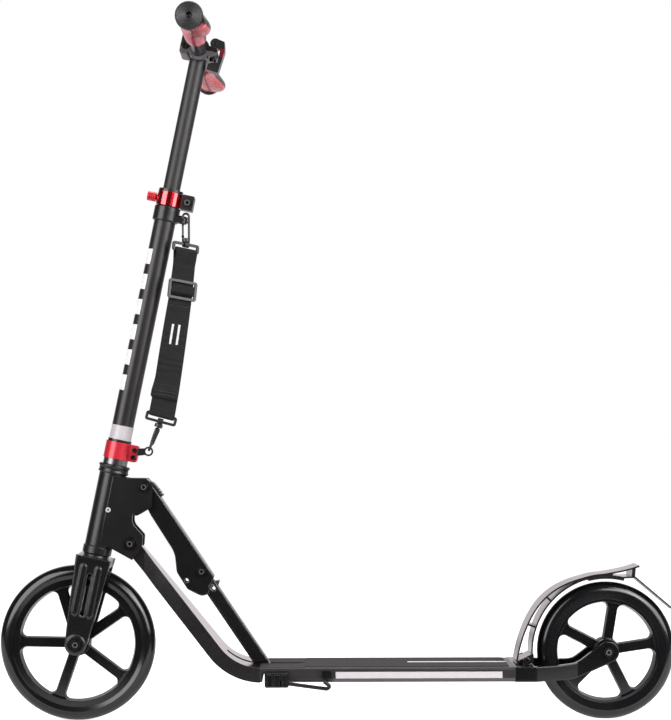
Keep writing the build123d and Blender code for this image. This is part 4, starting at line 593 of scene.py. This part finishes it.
webTree.links.new(webBump.outputs["Normal"], webShader.inputs["Normal"])
barRun = addNode(webTree, "Math", {
    0: webAxes.outputs["X"], 1: weave["barMiddle"], 2: weave["barHalf"]}, operation="COMPARE")
barAway = addNode(webTree, "Math", {0: webAxes.outputs["Y"]}, operation="ABSOLUTE")
barSide = addNode(webTree, "Math", {
    0: barAway.outputs["Value"], 1: weave["barAway"], 2: weave["barWidth"]}, operation="COMPARE")
overprint(webbing, allOf(webTree, barRun, barSide), "#d9d7da")

# grip rubbers: dark grey skin, red underside and a darker seam line
gripGrey = mouldedPlastic("mouldedGripRubberGrey", "#403c3e", 0.42, 0.12)
gripRed = mouldedPlastic("mouldedGripRubberRed", "#d25b64", 0.27, 0.04)
gripSeam = mouldedPlastic("mouldedGripSeamRed", "#8c2029", 0.4, 0.1)
thread = mouldedPlastic("twistedPolyesterThread", "#3a3739", 0.6, 0.3)
print("materials made")

finishes = {
    frameCoat: "crossbar bar_cap headset_cups lug_collar strap_eyelet head_tube",
    sliderCoat: "inner_tube",
    clampCoat: "bar_saddle",
    plateCoat: "fold_bracket",
    yokeCoat: "rear_fork",
    roundCoat: "upper_link lower_strut fork",
    tubeCoat: "down_tube",
    stemCoat: "stem_tube",
    deckCoat: "deck",
    nylon: "mudflap link_cap quick_jaws quick_lever guide_bush slide_bush strap_webbing",
    blockNylon: "kickstand_block kickstand_clip",
    ringFinish: "stem_rings",
    buckleNylon: "strap_buckles snap_hooks",
    leverNylon: "bar_lever",
    fenderNylon: "fender",
    rimNylon: "front_rim rear_rim",
    tyreUrethane: "front_tyre rear_tyre",
    redAnodised: "quick_collar",
    redBlasted: "stem_clamp index_knob",
    film: "side_stripes stem_band",
    oxideSteel: "clamp_bolts bar_bolts cross_pins kickstand_leg upper_gate lower_gate",
    foldSteel: "fold_bolts",
    kneeSteel: "knee_bolt",
    quickSteel: "quick_bolt",
    frontAxleSteel: "front_axle",
    rearAxleSteel: "rear_axle",
    brightSteel: "lock_pin front_bearings rear_bearings headset_bearings",
    aluminium: "steerer_tube",
    rubber: "grips brake_pad",
    capRubber: "end_caps",
    grit: "grip_tape",
}
for finish, names in finishes.items():
    for name in names.split():
        nodes[name].data.materials.clear()
        nodes[name].data.materials.append(finish)
print("finishes on", sum(len(names.split()) for names in finishes.values()), "nodes")


# a grid of points as a mesh: rows by columns, closed round the columns, the ends shut or joined
# into a ring; a closed skin whose signed volume is negative is turned round
def addSurface(name, points, body, materials, uv=None, ring=False, pick=None):
    rows, columns = points.shape[:2]
    index = np.arange(rows * columns).reshape(rows, columns)
    index = np.concatenate([index, index[:, :1]], axis=1)
    if ring:
        index = np.concatenate([index, index[:1]], axis=0)
    corners = [index[:-1, :-1], index[:-1, 1:], index[1:, 1:], index[1:, :-1]]
    quads = np.stack(corners, axis=-1).reshape(-1, 4)
    flat = points.reshape(-1, 3)
    middle = flat - flat.mean(axis=0)
    a, b, c, d = (middle[quads[:, i]] for i in range(4))
    volume = (a * np.cross(b, c)).sum() + (a * np.cross(c, d)).sum()
    if volume < 0:
        quads = quads[:, ::-1]
    faces = quads.tolist()
    if not ring:
        first, last = index[0, :-1].tolist(), index[-1, :-1].tolist()
        faces += [first, last[::-1]] if volume < 0 else [first[::-1], last]
    mesh = bpy.data.meshes.new(name)
    mesh.from_pydata(flat.tolist(), [], faces)
    if uv is not None:
        layer = mesh.uv_layers.new(name="UVMap")
        corner = np.empty(len(mesh.loops), dtype=np.int32)
        mesh.loops.foreach_get("vertex_index", corner)
        layer.data.foreach_set("uv", uv.reshape(-1, 2)[corner].astype(np.float32).ravel())
    for material in materials:
        mesh.materials.append(material)
    if pick is not None:
        mesh.polygons.foreach_set("material_index", pick.astype(np.int32).ravel())
    mesh.shade_smooth()
    piece = bpy.data.objects.new(name, mesh)
    bpy.context.scene.collection.objects.link(piece)
    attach(piece, body)
    return piece


# 0 below start, 1 above end, and a smooth S between them
def ease(value, start, end):
    share = np.clip((value - start) / (end - start), 0, 1)
    return share * share * (3 - 2 * share)


# evenly spaced angles once round, without the last, which is the first again
def fullTurn(count):
    return np.linspace(0, 2 * np.pi, count, endpoint=False)


# rows of vectors brought to length 1
def unit(vectors):
    return vectors / np.linalg.norm(vectors, axis=1)[:, None]


# carrying strap: doubled from the upper ring to the slider, folded back and sewn at the lower ring;
# bow, turn and tilt are given at shares of its length, and a ramp by how far from the slider or the
# hem it starts and ends
strap = {
    "width": 38 * mm,
    "thickness": 1.5 * mm,
    "top": np.array((-0.222745, -0.008, 0.699031)),
    "bottom": np.array((-0.258399, -0.024, 0.446570)),
    "shares": (0, 0.25, 0.64, 0.85, 1),
    "bow": (0, 2.7 * mm, 2.03 * mm, 1.49 * mm, 0),
    "turn": (39, 33, 14, 6, 0),
    "tilt": (6, 7, 8, 11, 15),
    "bar": 5 * mm,
    "loop": 3.65 * mm,
    "loopTurn": 80,
    "upperTaper": 30 * mm,
    "lowerTaper": 22 * mm,
    "slider": 63.8 * mm,
    "sliderRise": 5.8 * mm,
    "sliderRamp": (10 * mm, 3.2 * mm),
    "tuck": 6 * mm,
    "layers": 1.9 * mm,
    "foldBack": 36 * mm,
    "hem": 225 * mm,
    "hemRise": 3.6 * mm,
    "hemRamp": (28 * mm, 8 * mm),
    "hemDrop": 2 * mm,
    "hemEdge": 2.6 * mm,
    "askewRamp": (32 * mm, 4 * mm),
    "askewDrop": 3 * mm,
    "selvage": 14,
    "rows": {"loop": 15, "back": 70, "front": 300, "tail": 40},
    "columns": 17,
}
strapLength = np.linalg.norm(strap["bottom"] - strap["top"])
lowBar = strapLength - strap["bar"]


# the strap's middle line bows to the rear between its rings; bow, turn and tilt are quartics
# through five stations, turn and tilt in degrees
def strapFrame(down):
    share = down / strapLength
    bow, turn, tilt = (
        np.polyval(np.polyfit(strap["shares"], strap[key], 4), share)
        for key in ("bow", "turn", "tilt"))
    straight = strap["top"] + share[:, None] * (strap["bottom"] - strap["top"])
    centre = straight + bow[:, None] * np.array((1, 0, 0))
    turn, tilt = np.radians(turn), np.radians(tilt)
    across = np.stack([
        np.cos(turn) * np.cos(tilt), np.sin(turn) * np.cos(tilt), -np.sin(tilt)], axis=1)
    outward = np.stack([np.sin(turn), -np.cos(turn), np.zeros_like(turn)], axis=1)
    return centre, across, outward


# 1 at the hem: rises along the ramp above it and falls in the drop below it
def atHem(down, ramp, drop):
    rise = ease(down, strap["hem"] - ramp[0], strap["hem"] - ramp[1])
    return rise - ease(down, strap["hem"], strap["hem"] + drop)


# how far the front layer stands off the middle line: round the bars, over the slider, and up to the
# sewn hem
def frontStand(down):
    far, near = strap["sliderRamp"]
    overSlider = ease(down, strap["slider"] - far, strap["slider"] - near)
    overSlider = overSlider - ease(down, strap["slider"] + near, strap["slider"] + far)
    hem = atHem(down, strap["hemRamp"], strap["hemDrop"])
    ends = 1 - ease(down, strap["bar"], strap["upperTaper"])
    ends = ends + ease(down, lowBar - strap["lowerTaper"], lowBar)
    return strap["loop"] * ends + strap["sliderRise"] * overSlider + strap["hemRise"] * hem


# the path in (down, outward): up behind, round the upper bar, down through the slider, round the
# lower bar, back up
rows = strap["rows"]
halfTurn = np.radians(np.linspace(-strap["loopTurn"], strap["loopTurn"], rows["loop"]))
backDown = np.linspace(strap["slider"] + strap["tuck"], strap["bar"], rows["back"])
frontDown = np.linspace(strap["bar"], lowBar, rows["front"])
tailDown = np.linspace(lowBar, lowBar - strap["foldBack"], rows["tail"])
closing = strap["loop"] - strap["layers"]
backOut = -strap["layers"] - closing * ease(-backDown, -strap["upperTaper"], -strap["bar"])
tailOut = -strap["loop"] + closing * ease(-tailDown, -lowBar, -lowBar + strap["lowerTaper"])
down = np.concatenate([
    backDown, strap["bar"] - strap["loop"] * np.cos(halfTurn), frontDown,
    lowBar + strap["loop"] * np.cos(halfTurn), tailDown])
out = np.concatenate([
    backOut, strap["loop"] * np.sin(halfTurn), frontStand(frontDown),
    -strap["loop"] * np.sin(halfTurn), tailOut])
centre, across, outward = strapFrame(down)
strapPath = centre + out[:, None] * outward
along = unit(np.gradient(strapPath, axis=0))
thick = unit(np.cross(across, along))
reach = np.concatenate([[0], np.cumsum(np.linalg.norm(np.diff(strapPath, axis=0), axis=1))])
# the profile is flat with rounded selvages: half thickness falls as a high power of the distance
# from the middle
columns = strap["columns"]
side = np.concatenate([np.linspace(-1, 1, columns), np.linspace(1, -1, columns)[1:-1]])
face = np.concatenate([np.ones(columns), -np.ones(columns - 2)])
face = face * np.sqrt(1 - np.abs(side) ** strap["selvage"])
# the folded hem lies askew, so its front edge stands out beside the strap
askew = atHem(down, strap["askewRamp"], strap["askewDrop"])
sideways = side[None, :] * strap["width"] / 2
reachAcross = sideways - strap["hemEdge"] * askew[:, None] * np.clip(-side, 0, 1)[None, :]
strapPoints = (
    strapPath[:, None, :] + across[:, None, :] * reachAcross[:, :, None]
    + thick[:, None, :] * (face * strap["thickness"] / 2)[None, :, None])
strapUv = np.stack(np.broadcast_arrays(reach[:, None], sideways), axis=-1)
webbingPiece = addSurface("strapWebbing", strapPoints, "fork", [webbing], uv=strapUv)
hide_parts("strap_webbing")

# stitches: a thread that runs across the strap and rises and dips through its front layer as a
# cosine
stitching = {
    "rows": (88 * mm, 216 * mm, 221 * mm),
    "pitch": 4.2 * mm,
    "thread": 0.55 * mm,
    "span": 0.44,
    "wave": 0.9 * mm,
    "sunk": 0.3 * mm,
    "points": 130,
    "sides": 6,
}
threadRun = np.linspace(-stitching["span"], stitching["span"], stitching["points"]) * strap["width"]
threadWave = stitching["wave"] * np.cos(2 * np.pi * threadRun / stitching["pitch"])
threadRise = strap["thickness"] / 2 + threadWave - stitching["sunk"]
threadSpin = fullTurn(stitching["sides"])[None, :, None]
for number, row in enumerate(stitching["rows"]):
    atRow = np.full(stitching["points"], row)
    rowCentre, rowAcross, rowOutward = strapFrame(atRow)
    threadPath = (
        rowCentre + rowAcross * threadRun[:, None]
        + rowOutward * (frontStand(atRow) + threadRise)[:, None])
    heading = unit(np.gradient(threadPath, axis=0))
    threadUp = unit(np.cross(heading, np.array((0, 0, 1.0))))
    threadSide = np.cross(heading, threadUp)
    threadPoints = threadPath[:, None, :] + stitching["thread"] * (
        threadUp[:, None, :] * np.cos(threadSpin) + threadSide[:, None, :] * np.sin(threadSpin))
    stitch = addSurface("strapStitch" + str(number + 1), threadPoints, "fork", [thread])
print("strap", round(float(reach[-1]), 3), "m")

# grips: rubber over the bar, a round core that swells into a palm wing, red along the underside
grip = {
    "bar": np.array(barPlace),
    "barRadius": 11.1 * mm,
    "inner": 103 * mm,
    "length": 122 * mm,
    "stations": (0, 0.45, 0.84, 1),
    "core": (14.5 * mm, 16 * mm, 16 * mm, 16 * mm),
    "wing": (8.8 * mm, 13.2 * mm, 22 * mm, 17.6 * mm),
    "tip": 8 * mm,
    "droop": math.radians(-25.8),
    "soft": 0.9 * mm,
    "ribsStart": (0.1, 0.16),
    "ribsEnd": (0.66, 0.72),
    "ribPitch": 6 * mm,
    "ribDepth": 0.5 * mm,
    "ribPower": 3,
    "lipRound": 1.6 * mm,
    "redBelow": -1.0 * mm,
    "frontRed": -5.0 * mm,
    "seam": 1.3 * mm,
    "rows": 90,
    "columns": 120,
}


# a section is the soft maximum of two support lines, the core circle's and the wing circle's; a
# point lies at the support times its direction plus the support's slope times the direction a
# quarter turn on
def gripSkin(sign):
    share = np.concatenate([[0, 0], np.linspace(0, 1, grip["rows"]), [1, 1]])[:, None]
    angle = fullTurn(grip["columns"])[None, :]
    core, wing = (
        np.polyval(np.polyfit(grip["stations"], grip[key], 3), share) for key in ("core", "wing"))
    ribs = ease(share, *grip["ribsStart"]) * (1 - ease(share, *grip["ribsEnd"]))
    groove = 0.5 + 0.5 * np.cos(2 * np.pi * share * grip["length"] / grip["ribPitch"])
    edge = np.minimum(share, 1 - share) * grip["length"]
    inLip = 1 - np.clip(edge / grip["lipRound"], 0, 1)
    ends = grip["lipRound"] * (1 - np.sqrt(1 - inLip ** 2))
    core = core - ends - grip["ribDepth"] * ribs * groove ** grip["ribPower"]
    tip = grip["tip"] - ends
    turned = angle - grip["droop"]
    wingSupport = wing * np.cos(turned) + tip
    support = grip["soft"] * np.logaddexp(core / grip["soft"], wingSupport / grip["soft"])
    weight = 1 / (1 + np.exp((core - wingSupport) / grip["soft"]))
    slope = -weight * wing * np.sin(turned)
    x = support * np.cos(angle) - slope * np.sin(angle)
    z = support * np.sin(angle) + slope * np.cos(angle)
    x[[0, -1]] = grip["barRadius"] * np.cos(angle)
    z[[0, -1]] = grip["barRadius"] * np.sin(angle)
    y = np.broadcast_to(sign * (grip["inner"] + share * grip["length"]), x.shape)
    return np.stack([grip["bar"][0] + x, y, grip["bar"][1] + z], axis=-1)


# the colour turns red below the wing's middle plane behind the bar, and low down in front; the seam
# is underneath
def gripTint(skin):
    x, z = skin[..., 0] - grip["bar"][0], skin[..., 2] - grip["bar"][1]
    aboveWing = z * math.cos(grip["droop"]) - x * math.sin(grip["droop"])
    red = np.where(x > 0, aboveWing < grip["redBelow"], z < grip["frontRed"])
    return np.where((np.abs(x) < grip["seam"]) & (z < 0), 2, np.where(red, 1, 0))


for hand, sign in (("left", -1), ("right", 1)):
    skin = gripSkin(sign)
    gripPiece = addSurface(
        hand + "Grip", skin, "handlebar", [gripGrey, gripRed, gripSeam], ring=True,
        pick=gripTint(skin))
    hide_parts("grips")
print("grips made")

# head rivets: a domed white ring with an open middle on each side of the folding bracket, a profile
# of radius and height carried round a circle
rivet = {
    "place": (-0.3371, 0.3120),
    "radius": np.array((1.4, 1.4, 2.0, 3.0, 3.9, 3.9)) * mm,
    "height": np.array((-0.6, 0.8, 1.2, 1.0, 0.3, -0.6)) * mm,
    "sides": 40,
}
bracketLow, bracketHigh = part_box("fold_bracket")
rivetSpin = fullTurn(rivet["sides"])[:, None]
for hand, sign, bracketY in (("left", -1, bracketLow[1]), ("right", 1, bracketHigh[1])):
    rivetPoints = np.stack(np.broadcast_arrays(
        rivet["place"][0] + rivet["radius"] * np.cos(rivetSpin),
        bracketY + sign * rivet["height"],
        rivet["place"][1] + rivet["radius"] * np.sin(rivetSpin)), axis=-1)
    rivetPiece = addSurface(hand + "Rivet", rivetPoints, "head", [film], ring=True)
print("rivets made")

# headset cover: a flared lip and a bead over the upper cup, a profile of radius and height carried
# round the steering axis; height is measured up the axis from the front axle
cover = {
    "radius": (20.6, 21.7, 22.5, 22.5, 21.7, 21.7, 23.0, 23.2, 22.6, 20.6),
    "height": (256.4, 256.4, 257.2, 258.8, 259.6, 264.4, 265.6, 267.2, 268.4, 268.8),
    "sides": 96,
}
axlePoint = np.array(axlePlace)
upAxis = np.array((math.sin(rake), 0, math.cos(rake)))
backAxis = np.array((math.cos(rake), 0, -math.sin(rake)))
sideAxis = np.array((0, 1, 0))
coverSpin = fullTurn(cover["sides"])[:, None, None]
coverRadius = np.array(cover["radius"])[None, :, None] * mm
coverHeight = np.array(cover["height"])[None, :, None] * mm
coverPoints = (
    axlePoint + coverHeight * upAxis
    + coverRadius * (np.cos(coverSpin) * backAxis + np.sin(coverSpin) * sideAxis))
coverPiece = addSurface("headsetCover", coverPoints, "head", [frameCoat], ring=True)

# strap ear: a rounded tongue on the upper collar, a superellipse in length, thickness and height
ear = {
    "back": 24 * mm,
    "up": 644.6 * mm,
    "half": (10.5 * mm, 4.2 * mm, 6.0 * mm),
    "square": 0.75,
    "pole": 0.49,
    "rows": 25,
    "columns": 48,
}


# a sine or cosine keeps its sign and has its size raised to a power, which squares up a circle
def squared(wave):
    return np.sign(wave) * np.abs(wave) ** ear["square"]


earAround = fullTurn(ear["columns"])[None, :, None]
earUp = np.linspace(-ear["pole"], ear["pole"], ear["rows"])[:, None, None] * np.pi
earPoints = (
    axlePoint + ear["back"] * backAxis + ear["up"] * upAxis
    + ear["half"][0] * squared(np.cos(earUp)) * squared(np.cos(earAround)) * backAxis
    + ear["half"][1] * squared(np.cos(earUp)) * squared(np.sin(earAround)) * sideAxis
    + ear["half"][2] * squared(np.sin(earUp)) * upAxis)
earPiece = addSurface("strapEar", earPoints, "fork", [tubeCoat])
print("headset cover and strap ear made")

# lower hook's shank: an oval bar behind the gate, its half width falling evenly from the swivel to
# the bow and both ends rounded off by a high power of the distance from its middle
shank = {
    "knuckle": (2.3 * mm, 2.6 * mm),
    "slope": math.radians(21.7),
    "behind": 9.5 * mm,
    "start": -2 * mm,
    "end": 26 * mm,
    "wide": (4.2 * mm, 3.0 * mm),
    "thick": 2.1 * mm,
    "blunt": 10,
    "leastOpen": 0.01,
    "rows": 40,
    "columns": 32,
}
gateLow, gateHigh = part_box("lower_gate")
shankTop = np.array((
    gateHigh[0] - shank["knuckle"][0], (gateLow[1] + gateHigh[1]) / 2 + shank["behind"],
    gateHigh[2] - shank["knuckle"][1]))
shankDown = np.array((-math.sin(shank["slope"]), 0, -math.cos(shank["slope"])))
shankAcross = np.array((shankDown[2], 0, -shankDown[0]))
shankRun = np.linspace(-1, 1, shank["rows"])[:, None, None]
shankShare = (shankRun + 1) / 2
shankAround = fullTurn(shank["columns"])[None, :, None]
shankOpen = np.sqrt(np.clip(1 - shankRun ** shank["blunt"], shank["leastOpen"], 1))
shankAlong = shank["start"] + shankShare * (shank["end"] - shank["start"])
shankWide = shank["wide"][0] + shankShare * (shank["wide"][1] - shank["wide"][0])
shankPoints = (
    shankTop + shankAlong * shankDown + shankWide * shankOpen * np.cos(shankAround) * shankAcross
    + shank["thick"] * shankOpen * np.sin(shankAround) * sideAxis)
shankPiece = addSurface("hookShank", shankPoints, "fork", [buckleNylon])
print("hook shank made")

# kickstand cover: a plate with a raised border and two upright ribs on the block; its height is the
# larger of the border's and the ribs' smooth steps, brought down to nothing at the edge
plate = {
    "inset": 1.2 * mm,
    "base": 0.2 * mm,
    "relief": 1.3 * mm,
    "border": 2.2 * mm,
    "rib": 2.4 * mm,
    "ribShares": (0.36, 0.68),
    "flank": 0.8 * mm,
    "edgeRound": 0.7 * mm,
    "sunk": 0.5 * mm,
    "rows": 60,
    "columns": 100,
}
blockLow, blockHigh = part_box("kickstand_block")
plateX = np.linspace(
    blockLow[0] + plate["inset"], blockHigh[0] - plate["inset"], plate["columns"])[None, :]
plateZ = np.linspace(
    blockLow[2] + plate["inset"], blockHigh[2] - plate["inset"], plate["rows"])[:, None]
fromEdge = np.minimum(
    np.minimum(plateX - plateX.min(), plateX.max() - plateX),
    np.minimum(plateZ - plateZ.min(), plateZ.max() - plateZ))
borderHigh = 1 - ease(fromEdge, plate["border"], plate["border"] + plate["flank"])
plateLength = plateX.max() - plateX.min()
alongPlate = (plateX - plateX.min()) / plateLength
ribAway = np.minimum(*(np.abs(alongPlate - share) for share in plate["ribShares"])) * plateLength
ribHigh = 1 - ease(ribAway, plate["rib"] / 2, plate["rib"] / 2 + plate["flank"])
reliefHigh = np.maximum(borderHigh, ribHigh) * ease(fromEdge, 0, plate["edgeRound"])
frontPlate = np.stack(np.broadcast_arrays(
    plateX, blockLow[1] - plate["base"] - plate["relief"] * reliefHigh, plateZ), axis=-1)
rearPlate = frontPlate[:, ::-1].copy()
rearPlate[..., 1] = blockLow[1] + plate["sunk"]
platePoints = np.concatenate([frontPlate, rearPlate], axis=1)
platePiece = addSurface("kickstandCover", platePoints, "deck", [blockNylon])
print("kickstand cover made")
